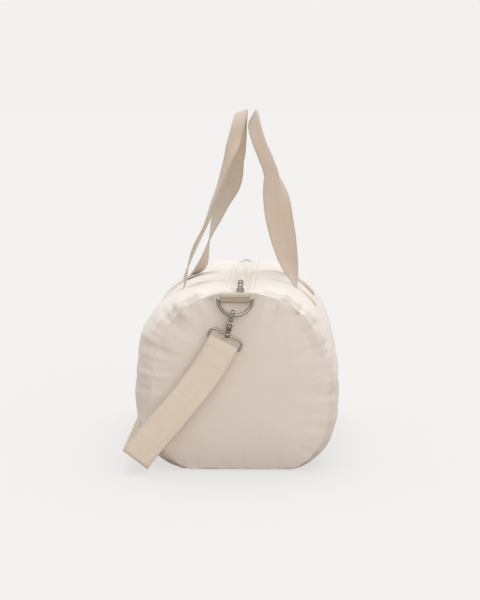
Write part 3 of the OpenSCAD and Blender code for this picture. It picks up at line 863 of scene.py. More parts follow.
@dataclass
class CanvasBody:
    """The canvas: a body sheet and two end panels, sewn together and settled as cloth.

    Attributes:
        barrel: Outline of the bag.
        thickness: Thickness of the canvas.
        round_count: Faces round the body sheet, from zip edge to zip edge.
        length_count: Faces along the body sheet.
        top_half: Faces from a zip edge to a corner of the end panel's grid.
        zip_faces: Faces across the zip on an end panel.
        seam_depth: How far the end seams are drawn in.
        seam_roll: Distance from a seam at which the cloth starts to roll in to it.
        at_seam: Distance within which a point counts as on a seam.
        free_mm: How far the cloth may move from its form.
        tight_mm: The same near the top and behind the hooks.
        panel_mm: The same for the end panels.
        swell_mm: Distance from its seam over which an end panel swells out.
        sewn_depth: How far the canvas is pulled in under a sewn-down handle end.
        frames: Frames of the cloth simulation.
        samples: Points of each end seam by which its puckers are placed.
    """

    barrel: Barrel
    thickness: float = 1.6
    round_count: int = 132
    length_count: int = 84
    top_half: int = 14
    zip_faces: int = 4
    seam_depth: float = 2.6
    seam_roll: float = 16.0
    at_seam: float = 0.2
    free_mm: float = 5.0
    tight_mm: float = 1.8
    panel_mm: float = 3.6
    swell_mm: float = 90.0
    sewn_depth: float = 1.3
    frames: int = 18
    samples: int = 1000

    def stations(self) -> np.ndarray:
        """Places along the barrel, closer together near the seams."""
        t = np.linspace(-1, 1, self.length_count + 1)
        return t + 0.35 * np.sin(math.pi * t) / math.pi

    def body_grid(self) -> np.ndarray:
        """Grid of the body sheet, one row for each place along the barrel.

        Returns:
            The places, in millimetres.
        """
        rows = []
        for place in self.stations():
            from_end = (1 - abs(place)) * self.barrel.end_y
            roll = max(0.0, 1 - from_end / self.seam_roll)
            ring = self.barrel.ring(place, self.round_count + 1)
            deep = self.barrel.ring(place, self.round_count + 1, self.seam_depth)
            # Over the top the cloth rolls further down to the seam, except beside the ring tab
            over = ramp(ring[:, 2], 150, 60) * ramp(np.abs(ring[:, 0] - self.barrel.tab_x), 22, 24)
            ring += (deep - ring) * (roll ** 2 * (1 + 1.3 * over))[:, None]
            # Under the bag the seam is nipped in more sharply, a few millimetres off the ground
            low = (1 - ramp(ring[:, 2], 0, 12)) * roll
            ring[:, 2] += low * (2.0 * roll ** 3 - self.seam_depth * roll ** 2)
            ring[:, 2] = np.maximum(ring[:, 2], 0.5)
            rows.append(ring)
        return np.array(rows)

    def panel_grid(self, end: End, seam: np.ndarray) -> np.ndarray:
        """Grid of an end panel whose rim is the end of the body sheet.

        Args:
            end: Which end.
            seam: Points of the seam, from the left zip edge round to the right one.

        Returns:
            The grid, rows from the ground up and columns from the left to the right.
        """
        over_zip = np.linspace(seam[-1], seam[0], self.zip_faces + 1)[1:-1]
        rim = np.roll(np.concatenate([seam, over_zip]), -self.top_half, axis=0)
        top = 2 * self.top_half + self.zip_faces
        side = len(rim) // 2 - top
        rim = np.concatenate([rim, rim[:1]])
        left, low = rim[:side + 1][::-1], rim[side:side + top + 1]
        right, high = rim[side + top:2 * side + top + 1], rim[2 * side + top:][::-1]
        u = np.linspace(0, 1, top + 1)[None, :, None]
        v = np.linspace(0, 1, side + 1)[:, None, None]
        grid = ((1 - v) * low[None] + v * high[None] + (1 - u) * left[:, None]
                + u * right[:, None] - (1 - u) * (1 - v) * low[0] - u * (1 - v) * low[-1]
                - (1 - u) * v * high[0] - u * v * high[-1])
        # The panel swells out from its seam, as far as the dome in the middle
        tree = point_tree(rim)
        gap = np.array([tree.find(point)[2] for point in grid.reshape(-1, 3)])
        share = ramp(gap.reshape(grid.shape[:2]), 0, self.swell_mm)
        grid[..., 1] += end.value * (self.barrel.dome + 1.0) * (1 - (1 - share) ** 2.6)
        return grid

    def flat_map(self, grid: np.ndarray) -> np.ndarray:
        """Place of each grid point on the flat cloth, by its distances along the grid."""
        row, column = grid.shape[0] // 2, grid.shape[1] // 2
        return flat_places(arc_lengths(grid[row]), arc_lengths(grid[:, column]))

    def weights(self, rest: np.ndarray) -> tuple[np.ndarray, np.ndarray]:
        """How firmly the canvas is held as it settles, and where it has spare cloth.

        Args:
            rest: Places of its points, in millimetres.

        Returns:
            Both weights for each point, from 0 to 1.
        """
        b = self.barrel
        x, y, z = rest.T
        from_end = b.end_y - np.abs(y)
        on_seam = np.abs(from_end) < self.at_seam
        by_zip = ((np.abs(x) < b.zip_width / 2 + 1) & (z > b.height - 5)
                  & (from_end > -self.at_seam))
        patch = (np.abs(np.abs(y) - b.handle_y) < 21) & (z > 168) & (z < 214) & (from_end > 5)
        tab = (np.abs(x - b.tab_x) < 24) & (z > 195) & (from_end < 6)
        held = np.zeros(len(rest))
        held[z < 0.6] = 0.5
        held[by_zip | patch | on_seam | tab] = 1.0
        # Spare cloth: eased on to the end seams and along the zip, most on the upper left
        near_seam = (1 - ramp(np.abs(from_end), 0, 55)) * (from_end > -self.at_seam)
        rim = np.minimum(b.end_width / 2 - np.abs(x), np.minimum(z, b.height - z) * 1.2)
        near_rim = (1 - ramp(rim, 0, 50)) * (from_end < self.at_seam)
        near_zip = (1 - ramp(np.abs(x), b.zip_width / 2, 60)) * (z > 150) \
            * (from_end > self.at_seam)
        upper_left = 0.75 + 0.25 * np.clip((z - 100) / 100, -1, 1) + 0.2 * (x < 0)
        return held, np.clip((near_seam + near_rim + 0.8 * near_zip) * upper_left, 0, 1)

    def settle(self, shell: bpy.types.Object) -> None:
        """Lets the sewn canvas settle: eased seams pucker and the panels swell.

        Args:
            shell: Body sheet and end panels, joined at the seams.
        """
        rest = places(shell)
        held, ease = self.weights(rest)
        for name, weights in (("held", held), ("ease", ease)):
            group = shell.vertex_groups.new(name=name)
            weights = np.round(weights, 2)
            for level in np.unique(weights[weights > 0]):
                group.add(np.flatnonzero(weights == level).tolist(), float(level), "REPLACE")
        # Small uneven start, so that the puckers don't line up with the grid
        noise.seed_set(SEED)
        for i in np.flatnonzero(held < 0.4):
            start = Vector(noise.noise_vector(Vector(rest[i] / 22)))
            shell.data.vertices[i].co += start * 0.5 * MM
        cloth = shell.modifiers.new("settle", "CLOTH")
        for key, value in CLOTH.items():
            setattr(cloth.settings, key, value)
        cloth.settings.effector_weights.gravity = 0.0
        cloth.collision_settings.use_collision = False
        cloth.point_cache.frame_start = 1
        cloth.point_cache.frame_end = self.frames
        for number in range(1, self.frames + 1):
            bpy.context.scene.frame_set(number)
        activate(shell)
        bpy.ops.object.modifier_apply(modifier="settle")
        bpy.context.scene.frame_set(1)
        # The end panels stay clear of the hooks and the strap in front of them, and the
        # handles pull the top tight
        x, y, z = rest.T
        by_hook = ramp(90 - np.abs(x), 0, 40) * ramp(z, 40, 70)
        cap = np.where(self.barrel.end_y - np.abs(y) < self.at_seam,
                       self.panel_mm - (self.panel_mm - self.tight_mm) * by_hook,
                       self.free_mm - (self.free_mm - self.tight_mm) * ramp(z, 120, 60))[:, None]
        move = places(shell) - rest
        size = np.linalg.norm(move, axis=1, keepdims=True)
        move *= cap * np.tanh(size / cap) / np.maximum(size, 1e-9)
        now = rest + move
        now[:, 2] = np.maximum(now[:, 2], 0.9)
        move_to(shell, now)
        log.info("canvas settled, moved up to %.1f mm, mean %.2f mm", size.max(), size.mean())

    def build(self, finish: Finishes) -> dict[str, bpy.types.Object]:
        """Makes the canvas pieces.

        Args:
            finish: The finishes.

        Returns:
            The pieces by name.
        """
        body = self.body_grid()
        parts = [lay_grid("bag_canvas", body[:, ::-1], self.flat_map(body)[:, ::-1])]
        form = surface(parts[0])
        for end, seam in ((End.FRONT, body[0]), (End.REAR, body[-1])):
            grid = self.panel_grid(end, seam)[:, ::-end.value]
            parts.append(lay_grid(f"{end.word}_end_canvas", grid, self.flat_map(grid)))
        names = [part.name for part in parts]
        for index, part in enumerate(parts):
            mark = part.data.attributes.new("part", "INT", "FACE")
            mark.data.foreach_set("value", [index] * len(part.data.polygons))
        activate(parts[0])
        for part in parts[1:]:
            part.select_set(True)
        bpy.ops.object.join()
        shell = bpy.context.object
        bpy.ops.object.mode_set(mode="EDIT")
        bpy.ops.mesh.select_all(action="SELECT")
        bpy.ops.mesh.remove_doubles(threshold=0.05 * MM)
        bpy.ops.object.mode_set(mode="OBJECT")
        self.settle(shell)
        shell.vertex_groups.clear()
        which = np.empty(len(shell.data.polygons), int)
        shell.data.attributes["part"].data.foreach_get("value", which)
        made = {name: self.cut_out(shell, name, which == index)
                for index, name in enumerate(names)}
        bpy.data.objects.remove(shell)
        for name, piece in made.items():
            piece.data.attributes.remove(piece.data.attributes["part"])
            subdivide(piece)
            self.pucker(piece, (body[0], body[-1]))
            if name == names[0]:
                self.sew_down(piece, form)
            thicken(piece, self.thickness, -1.0)
            dress(piece, finish.canvas)
            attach(piece, "bag")
        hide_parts("main_panel")
        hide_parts("front_end_panel")
        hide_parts("rear_end_panel")
        return made

    def pucker(self, piece: bpy.types.Object, seams: Sequence[np.ndarray]) -> None:
        """Draws the small puckers beside the seams and the folds across the top into the cloth.

        Args:
            piece: Canvas piece, before it has its thickness.
            seams: Points of the two end seams.
        """
        b = self.barrel
        now = places(piece)
        normals = np.empty(len(now) * 3, np.float32)
        piece.data.vertex_normals.foreach_get("vector", normals)
        x, y, z = now.T
        at = np.linspace(0, arc_lengths(seams[0])[-1], self.samples)
        tree = point_tree(np.concatenate([resample(seam, at) for seam in seams]))
        near = [tree.find(point) for point in now]
        gap = np.array([found[2] for found in near])
        along = at[np.array([found[1] for found in near]) % self.samples]
        flat_panel = np.abs(y) > b.end_y - 0.3
        reach = np.where(flat_panel, 11 + 9 * ramp(z, 120, 80), 17.0)
        upper_left = 0.6 + 0.3 * np.clip((z - 90) / 90, -1, 1) + 0.35 * ramp(-x, 0, 40)
        puckers = 7.5 * upper_left * np.exp(-gap / reach) * (
            0.8 * ripple(along / 8, gap / 60, 3.1 * np.sign(y)) + ripple(along / 19, gap / 80))
        # Soft folds across the top, beside the zip, where the cloth is eased on to the tape
        from_zip = np.abs(x) - b.zip_gap / 2
        on_top = ramp(z, 165, 40) * (~flat_panel)
        folds = on_top * 1.5 * np.exp(-((from_zip - 36) / 26) ** 2) \
            * ripple(y / 33, x / 60, 1.0 * np.sign(x)) * np.where(x < 0, 1.0, 0.7)
        gathers = on_top * 0.5 * np.exp(-np.maximum(from_zip - 4, 0) / 9) * ripple(y / 8, 5.0)
        # Long shallow dents where the bag has been handled
        dents = ramp(gap, 0, 40) * ramp(z, 0, 60) * (
            np.where(flat_panel, 1.3, 3.0) * ripple(x / 70, y / 70, z / 70)
            + np.where(flat_panel, 0.3, 2.2) * ripple(x / 26, y / 60, z / 26))
        # The canvas stands fuller in front of the handle ends
        fuller = 2.2 * ramp(gap, 0, 30) * ramp(np.abs(y), 95, 25) \
            * ramp(z, 140, 30) * ramp(from_zip, 0, 25) * (~flat_panel)
        # The right shoulder sags a little and the left one stands out under its handle
        shoulders = ramp(gap, 0, 12) * np.where(
            x > 0, -2.6 * np.exp(-((z - 172) / 22) ** 2), 1.6 * np.exp(-((z - 160) / 35) ** 2)) \
            * ramp(np.abs(x), 60, 20)
        # The hem turns down at the zip, and the ground keeps the bottom flat
        loose = ramp(z, 0, 6) * np.where(on_top > 0, np.clip(from_zip / 3, 0.3, 1), 1) \
            * (1 - np.exp(-gap / 4))
        depth = (puckers + folds + gathers + dents + fuller + shoulders) * loose
        moved = now + normals.reshape(-1, 3) * depth[:, None]
        moved[:, 2] -= 0.6 * on_top * (1 - ramp(from_zip, 0, 1.5))
        moved[:, 2] = np.maximum(moved[:, 2], 0.5)
        move_to(piece, moved)

    def sew_down(self, piece: bpy.types.Object, form: BVHTree) -> None:
        """Pulls the body sheet in under the sewn-down ends of the handles.

        Args:
            piece: The body sheet, before it has its thickness.
            form: Search tree of the sheet before it settled.
        """
        now = places(piece)
        x, y, z = now.T
        half_width, low, high, fade = 20, 182, 211, 7
        past = np.maximum(np.abs(np.abs(y) - self.barrel.handle_y) - half_width,
                          np.maximum(low - z, z - high))
        share = 1 - ramp(past, 0, fade)
        share = share * share * (3 - 2 * share)
        for i in np.flatnonzero(share > 0):
            place, normal, _, _ = form.find_nearest(Vector(now[i]))
            outward = normal if normal.z > 0 else -normal
            now[i] += share[i] * (np.array(place - outward * self.sewn_depth) - now[i])
        move_to(piece, now)

    def cut_out(self, shell: bpy.types.Object, name: str, keep: np.ndarray) -> bpy.types.Object:
        """Copies some faces of the settled shell as a piece of their own.

        Args:
            shell: The shell.
            name: Name of the new piece.
            keep: Whether each face is kept.

        Returns:
            The new piece.
        """
        piece = shell.copy()
        piece.data = shell.data.copy()
        bpy.context.collection.objects.link(piece)
        piece.name = piece.data.name = name
        activate(piece)
        bpy.ops.object.mode_set(mode="EDIT")
        bpy.ops.mesh.select_mode(type="FACE")
        bpy.ops.mesh.select_all(action="DESELECT")
        bpy.ops.object.mode_set(mode="OBJECT")
        piece.data.polygons.foreach_set("select", ~keep)
        bpy.ops.object.mode_set(mode="EDIT")
        bpy.ops.mesh.delete(type="FACE")
        bpy.ops.object.mode_set(mode="OBJECT")
        return piece


# Webbing


# Height and distance along the bag of each step up a handle's strand, as shares of the whole
RISES = (0, 0.06, 0.145, 0.23, 0.315, 0.4, 0.49, 0.575, 0.66, 0.75, 0.84, 0.92, 0.975, 1)
OUTS = (1, 1, 0.985, 0.96, 0.925, 0.88, 0.83, 0.77, 0.7, 0.62, 0.52, 0.38, 0.2, 0)


@dataclass(frozen=True)
class Strand:
    """Shape of one strand of a handle, with a value for each step of RISES.

    Attributes:
        way_in: Share of the way from the anchor in to the grip.
        fold: How far the webbing is folded, from 0 to 1.
        turn: Turn of the webbing's face, in degrees.
    """

    way_in: Sequence[float]
    fold: Sequence[float]
    turn: Sequence[float]


LEFT_NEAR = Strand(
    (0, 0.03, 0.1, 0.195, 0.32, 0.425, 0.527, 0.63, 0.715, 0.808, 0.892, 0.95, 0.99, 1),
    (0, 0, 0, 0, 0.02, 0.1, 0.2, 0.3, 0.47, 0.82, 1, 1, 1, 1),
    (0, -7, 0, 3, 1, 1, 2, 2, 2, 1, 0, 0, 0, 0))
LEFT_FAR = Strand(
    (0, 0.22, 0.31, 0.375, 0.455, 0.552, 0.65, 0.765, 0.85, 0.925, 0.965, 0.975, 0.99, 1),
    (0, 0, 0, 0, 0, 0, 0, 0, 0.3, 0.85, 1, 1, 1, 1),
    (0, -20, -10, 0, 11, 22, 35, 48, 60, 80, 88, 90, 90, 90))
RIGHT_NEAR = Strand(
    (0, 0.07, 0.18, 0.262, 0.332, 0.4, 0.452, 0.508, 0.582, 0.71, 0.862, 0.958, 0.99, 1),
    (0, 0, 0, 0, 0, 0, 0.12, 0.38, 0.78, 1, 1, 1, 1, 1),
    (0, 16, 37, 51, 62, 68, 80, 88, 90, 90, 90, 90, 90, 90))
RIGHT_FAR = Strand(
    (0, 0.07, 0.18, 0.265, 0.34, 0.41, 0.465, 0.53, 0.62, 0.765, 0.896, 0.975, 0.99, 1),
    (0, 0, 0, 0, 0, 0, 0.2, 0.5, 0.88, 1, 1, 1, 1, 1),
    (0, 16, 35, 48, 58, 64, 78, 88, 90, 90, 90, 90, 90, 90))


@dataclass
class CarryHandle:
    """A carry handle: one webbing strap, sewn down at both ends and folded into a grip.

    Attributes:
        barrel: Outline of the bag.
        side: Side of the bag that it is sewn to.
        near: Shape of the near strand.
        far: Shape of the far strand.
        roll: Turn of the grip at the top, in degrees.
        top: Height of the grip's upper edge.
        grip_width: Width of the folded grip.
        grip_thickness: Its thickness.
        meet_x: Where the two handles' grips meet.
        roll_start: Share of the height at which the grip starts to roll.
        thickness: Thickness of the webbing.
        clear: Gap that keeps it off its neighbours.
        anchor_angle: Place round the barrel where the webbing leaves the bag, in degrees.
        patch_low: Place of the sewn-down end's lower edge, in degrees.
        sink: How far the stitches pull a sewn-down end into the canvas.
    """

    barrel: Barrel
    side: Side
    near: Strand
    far: Strand
    roll: float
    top: float = 438.0
    grip_width: float = 18.0
    grip_thickness: float = 3.6
    meet_x: float = 6.5
    roll_start: float = 0.84
    thickness: float = 1.6
    clear: float = 0.3
    anchor_angle: float = 63.0
    patch_low: float = 45.0
    sink: float = 1.2

    def skin(self, angle: float, depth: float) -> np.ndarray:
        """Point on the barrel where the handle is sewn on."""
        place = self.barrel.handle_y / self.barrel.end_y
        return self.barrel.skin(self.side.value, angle, place, depth)

    @property
    def root(self) -> np.ndarray:
        """Where the webbing leaves its sewn-down end."""
        return self.skin(self.anchor_angle, -self.thickness)

    def strand(self, end: End) -> list[list[float]]:
        """Values along one strand, from its anchor up.

        Args:
            end: Which end of the bag.

        Returns:
            For each step its place, the direction of the grip from its crease, and the angles
            of the two halves.
        """
        s = self.side.value
        start = np.array([self.root[0] - s * self.thickness / 2, self.root[2] + self.clear])
        r = math.radians(self.roll)
        half_w = (self.grip_width * math.cos(r) + self.grip_thickness * math.sin(r)) / 2
        half_h = (self.grip_width * math.sin(r) + self.grip_thickness * math.cos(r)) / 2
        top = np.array([self.meet_x + s * (half_w + self.clear), self.top - half_h])
        shape = self.near if end is End.FRONT else self.far
        rows = []
        for rise, out, way_in, fold, turn in zip(RISES, OUTS, shape.way_in, shape.fold,
                                                 shape.turn):
            tip = r * max(0, rise - self.roll_start) / (1 - self.roll_start)
            # The halves stand up at first and only close over the last stretch of the fold
            still_open = 1 - 0.6 * fold ** 0.75 - 0.4 * fold ** 12
            rows.append([start[0] + (top[0] - start[0]) * way_in,
                         end.value * self.barrel.handle_y * out,
                         start[1] + (top[1] - start[1]) * rise,
                         -s * math.cos(tip), 0, -s * math.sin(tip),
                         (90 - s * turn) * still_open, (-90 - s * turn) * still_open])
        return rows

    def patch(self, end: End) -> list[list[float]]:
        """Values along one sewn-down end, from its lower edge up to the anchor.

        Args:
            end: Which end of the bag.

        Returns:
            The same values as along a strand.
        """
        rows = []
        for angle in np.linspace(self.patch_low, self.anchor_angle - 3, 7):
            p = self.skin(angle, self.sink - self.thickness / 2 - 0.15)
            rows.append([p[0], end.value * self.barrel.handle_y, p[2], -self.side.value, 0, 0,
                         90, -90])
        return rows

    def values(self) -> np.ndarray:
        """Values along the whole handle, smoothed.

        Returns:
            The values, one row for each step.
        """
        near = self.patch(End.FRONT) + self.strand(End.FRONT)
        far = (self.patch(End.REAR) + self.strand(End.REAR))[::-1]
        return smooth_curve(np.array(near + far[1:]), 8)

    def build(self, finish: Finishes, body: str) -> bpy.types.Object:
        """Makes the handle.

        Args:
            finish: The finishes.
            body: Name of the handle's solid, which the piece is named after and which is hidden.

        Returns:
            The piece.
        """
        v = self.values()
        ribbon = Ribbon(v[:, :3], v[:, 3:6], v[:, 6:8], -self.side.value,
                        thickness=self.thickness)
        piece = ribbon.build(f"{body}_webbing")
        # The handle's darker copy of the webbing is painted shade
        dress(piece, finish.handle_webbing)
        x, z = self.root[0] * MM, self.root[2] * MM
        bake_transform(piece)
        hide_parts(body, f"{body}_ends")
        log.info("%s: %.0f mm of webbing", piece.name, arc_lengths(v[:, :3])[-1])
        return piece

    def stitch(self, stitches: Stitches, cloth: BVHTree) -> None:
        """Adds the box of stitches with its cross on each sewn-down end.

        Args:
            stitches: Rows of stitches that ride on the bag.
            cloth: Search tree of the webbing.
        """
        for end in End:
            for line in box(15, 0.12, 0.9, 12, cross=True):
                points = []
                for across, share in line:
                    angle = self.patch_low + share * (self.anchor_angle - self.patch_low)
                    p = self.skin(angle, -3.0)
                    points.append([p[0], end.value * self.barrel.handle_y + across, p[2]])
                stitches.row(np.array(points), cloth)


@dataclass
class ShoulderStrap:
    """The shoulder strap: webbing sewn round a bail at each end, along the bag's left side."""

    width: float = 38.0
    thickness: float = 1.6
    bar: tuple[float, float, float] = (-20.32, -243.84, 158.367)
    loop_r: float = 2.7
    bail_lean: float = 27.0
    side_lean: float = 37.0
    run_x: float = -127.0
    run_z: float = 16.535
    turn: float = 5.0
    tail: float = 34.0
    tail_share: float = 3.5
    neck_share: float = 2.4
    drop_share: float = 2.0
    seat: float = 0.1

    @staticmethod
    def lean(angle: float) -> np.ndarray:
        """Direction down the strap at a lean in degrees."""
        a = math.radians(angle)
        return np.array([-math.sin(a), 0, -math.cos(a)])

    @staticmethod
    def flat(angle: float) -> np.ndarray:
        """Direction across the strap at a lean in degrees."""
        a = math.radians(angle)
        return np.array([math.cos(a), 0, -math.sin(a)])

    def at_bar(self, down: float, y: float) -> np.ndarray:
        """Point at a distance down the strap from the bail's bar and out along Y."""
        return np.array(self.bar) + [0, y, 0] + down * self.lean(self.bail_lean)

    def half(self) -> np.ndarray:
        """Values along the front half: place and direction across.

        Returns:
            The values, from the tail of the sewn loop to the middle of the strap.
        """
        r = self.loop_r
        tail_y = -r + self.thickness + self.seat
        rows = [(self.at_bar(self.tail + (self.tail_share * r - self.tail) * t, tail_y),
                 self.bail_lean) for t in np.linspace(0, 1, 6)]
        rows.append((self.at_bar(self.neck_share * r, 0), self.bail_lean))
        rows += [(self.at_bar(-r * math.sin(a), r * math.cos(a)), self.bail_lean)
                 for a in np.radians(np.arange(0, 181, 22.5))]
        a = self.at_bar(self.drop_share * r, -r)
        d = np.array([self.run_x, self.bar[1] - r, self.run_z])
        d -= self.turn * self.lean(self.side_lean)
        reach = np.linalg.norm(d - a) / 3
        b, c = a + reach * self.lean(self.bail_lean), d - reach * self.lean(self.side_lean)
        for t in np.linspace(0, 1, 25):
            rows.append(((1 - t) ** 3 * a + 3 * (1 - t) ** 2 * t * b + 3 * (1 - t) * t ** 2 * c
                         + t ** 3 * d, self.bail_lean + (self.side_lean - self.bail_lean) * t))
        for t in np.radians(np.arange(11.25, 91, 11.25)):
            down = math.sin(t) * self.lean(self.side_lean)
            back = (1 - math.cos(t)) * np.array([0, 1, 0])
            rows.append((d + self.turn * (down + back), self.side_lean))
        for t in np.linspace(0.03, 0.97, 30):
            p = np.array([self.run_x, self.bar[1] - r + self.turn, self.run_z])
            rows.append((p * [1, 1 - t, 1], self.side_lean))
        return np.array([[*p, *self.flat(lean)] for p, lean in rows])

    def build(self, finish: Finishes) -> bpy.types.Object:
        """Makes the strap.

        Args:
            finish: The finishes.

        Returns:
            The piece.
        """
        half = self.half()
        other = half[::-1] * [1, -1, 1, 1, 1, 1]
        v = np.concatenate([half, other])
        ribbon = Ribbon(v[:, :3], v[:, 3:6], width=self.width, thickness=self.thickness)
        piece = ribbon.build("shoulder_strap_webbing")
        dress(piece, finish.webbing)
        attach(piece, "strap")
        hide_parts("shoulder_strap")
        log.info("%s: %.0f mm of webbing", piece.name, arc_lengths(v[:, :3])[-1])
        return piece

    def stitch(self, stitches: Stitches, cloth: BVHTree) -> None:
        """Adds the box of stitches that closes the loop round each bail.

        Args:
            stitches: Rows of stitches that ride on the same body.
            cloth: Search tree of the cloth.
        """
        out = -self.loop_r - self.thickness / 2 - 1.5
        for end in End:
            for line in box(15.5, 8.5, 30, 8):
                points = [self.at_bar(down, out) + across * self.flat(self.bail_lean)
                          for across, down in line]
                stitches.row(np.array(points) * [1, -end.value, 1], cloth)


@dataclass
class RingTab:
    """Webbing loop that comes out of the end seam, goes round the ring's bar and back."""

    x: float
    y: float = 233.5
    z: float = 210.8
    top: float = 218.4
    width: float = 36.6
    thickness: float = 1.6
    bore: float = 2.3

    def build(self, end: End, finish: Finishes, stitches: Stitches) -> bpy.types.Object:
        """Makes the tab of one end and adds its row of stitches.

        Args:
            end: Which end.
            finish: The finishes.
            stitches: Rows of stitches that ride on the bag.

        Returns:
            The piece.
        """
        t = self.thickness
        r = self.bore + t / 2
        high = self.top - self.z - t / 2
        # Out of the seam, down over the bar, pinched in above it, round it and back up behind
        outer = [(-10.5, high), (-6, high), (-1, high - 0.1), (3.0, high - 1.2), (4.5, high - 3.0),
                 (4.3, 3.2), (3.0, 2.3), (r + 0.1, 1.2)]
        outer += [(r * math.cos(a), -r * math.sin(a)) for a in np.radians(np.arange(0, 181, 20))]
        outer += [(-r, 2), (-r + 0.2, 3.4), (-r - 1.2, high - t), (-10.5, high - t)]
        line = smooth_curve(np.array(outer), 4)
        path = np.stack([np.full(len(line), self.x), end.value * (self.y + line[:, 0]),
                         self.z + line[:, 1]], 1)
        across = np.tile([[-end.value, 0, 0]], (len(path), 1))
        ribbon = Ribbon(path, across, width=self.width, thickness=t)
        piece = ribbon.build(f"{end.word}_tab_webbing")
        # The tab's darker copy of the webbing is painted shade
        dress(piece, finish.tab_webbing)
        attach(piece, "bag")
        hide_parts(f"{end.word}_ring_tab")
        row = np.array([[self.x + k, end.value * (self.y + 8), self.z + 3.6]
                        for k in np.linspace(-16, 16, 5)])
        stitches.row(row, surface(piece))
        return piece


# Zip and metal


@dataclass
class ZipClosure:
    """The zip: two woven tapes and the teeth of the coil."""

    barrel: Barrel
    tape_top: float = 218.0
    tape_t: float = 1.0
    coil_gap: float = 1.2
    coil_width: float = 6.4
    coil_height: float = 2.0
    coil_length: float = 434.0
    pitch: float = 1.9
    mesh_over: float = 0.6

    def tape(self, side: Side, finish: Finishes) -> bpy.types.Object:
        """Makes one tape.

        Args:
            side: Side of the zip.
            finish: The finishes.

        Returns:
            The piece.
        """
        inner, outer = self.coil_gap / 2, self.barrel.zip_width / 2
        x = np.array([inner, inner + 0.6, 2.4, 3.6, 5, 8, 12, 16, 19, outer - 0.4, outer])
        y = np.linspace(-1, 1, 80) * (self.barrel.end_y - 0.4)
        points = np.stack(np.broadcast_arrays(side.value * x[None], y[:, None],
                                              self.tape_top - self.tape_t / 2), -1)
        points = points[:, ::side.value]
        piece = lay_grid(f"zip_{side.name.lower()}_tape", points, points[..., :2])
        thicken(piece, self.tape_t)
        dress(piece, finish.zip_tape)
        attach(piece, "bag")
        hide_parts(f"zip_tape_{side.name.lower()}")
        return piece

    def teeth(self, side: Side, finish: Finishes) -> bpy.types.Object:
        """Makes the coil of one side: one turn is modelled, then copied along the tape.

        Args:
            side: Side of the zip.
            finish: The finishes.

        Returns:
            The piece.
        """
        deselect()
        bpy.ops.mesh.primitive_cylinder_add(vertices=8, radius=0.5, depth=1, end_fill_type="NGON")
        bpy.ops.object.mode_set(mode="EDIT")
        bpy.ops.mesh.select_all(action="SELECT")
        bpy.ops.transform.rotate(value=math.pi / 2, orient_axis="Y", center_override=(0, 0, 0))
        bpy.ops.mesh.bevel(offset=0.12, segments=1, affect="EDGES")
        turn, faces = take_model()
        reach = self.coil_width / 2 + self.mesh_over
        turn = turn * [reach, self.pitch * 0.44, self.coil_height]
        # Each turn arches over the tape and dips a little towards both ends
        turn[:, 2] *= 1 - 0.12 * (turn[:, 0] / (reach / 2)) ** 2
        count = int(self.coil_length / self.pitch)
        shift = self.pitch / 2 if side is Side.LEFT else 0
        rows_y = (np.arange(count) - (count - 1) / 2) * self.pitch + shift / 2
        middle_x = side.value * (reach / 2 - self.mesh_over)
        middle_z = self.tape_top + self.coil_height / 2
        piece = join_copies(f"zip_{side.name.lower()}_teeth",
                            [turn + [middle_x, y, middle_z] for y in rows_y], faces)
        bpy.ops.object.shade_smooth_by_angle(angle=math.radians(40))
        dress(piece, finish.coil)
        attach(piece, "bag")
        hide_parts(f"zip_coil_{side.name.lower()}")
        return piece

    def stitch(self, stitches: Stitches, cloth: BVHTree) -> None:
        """Adds two rows of stitches along each folded canvas edge.

        Args:
            stitches: Rows of stitches that ride on the same body.
            cloth: Search tree of the cloth.
        """
        for side in Side:
            for inset in (2.2, 8.0):
                x = side.value * (self.barrel.zip_gap / 2 + inset)
                stitches.row(np.array([[x, y, self.barrel.height + 3.0]
                                       for y in np.linspace(-218, 218, 60)]), cloth)


def stitch_seams(barrel: Barrel, stitches: Stitches, cloth: BVHTree) -> None:
    """Adds the row of stitches beside each end seam, on the body's side of it.

    Args:
        barrel: Outline of the bag.
        stitches: Rows of stitches that ride on the same body.
        cloth: Search tree of the cloth.
    """
    for end in End:
        place = end.value * (1 - 5.0 / barrel.end_y)
        stitches.row(barrel.ring(place, 300, -2.5)[4:-4], cloth)


class Metalwork:
    """Metal pieces, which keep their solids and get their finish."""

    NICKEL = ["zip_slider", "zip_pull", "front_zip_stop", "rear_zip_stop", "front_ring",
              "rear_ring", "strap_adjuster", "front_bail", "rear_bail", "front_hook",
              "rear_hook", "front_gate", "rear_gate"]
    STEEL = ["front_swivel_stud", "rear_swivel_stud", "front_gate_pin", "rear_gate_pin",
             "front_gate_spring", "rear_gate_spring"]

    def finish(self, finish: Finishes) -> None:
        """Gives every metal node its finish.

        Args:
            finish: The finishes.
        """
        for names, material in ((self.NICKEL, finish.nickel), (self.STEEL, finish.steel)):
            for name in names:
                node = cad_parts[name]
                for place in node.material_slots:
                    place.material = material
                if not node.material_slots:
                    node.data.materials.append(material)
                log.info("%s: %s", name, material.name)


# Studio


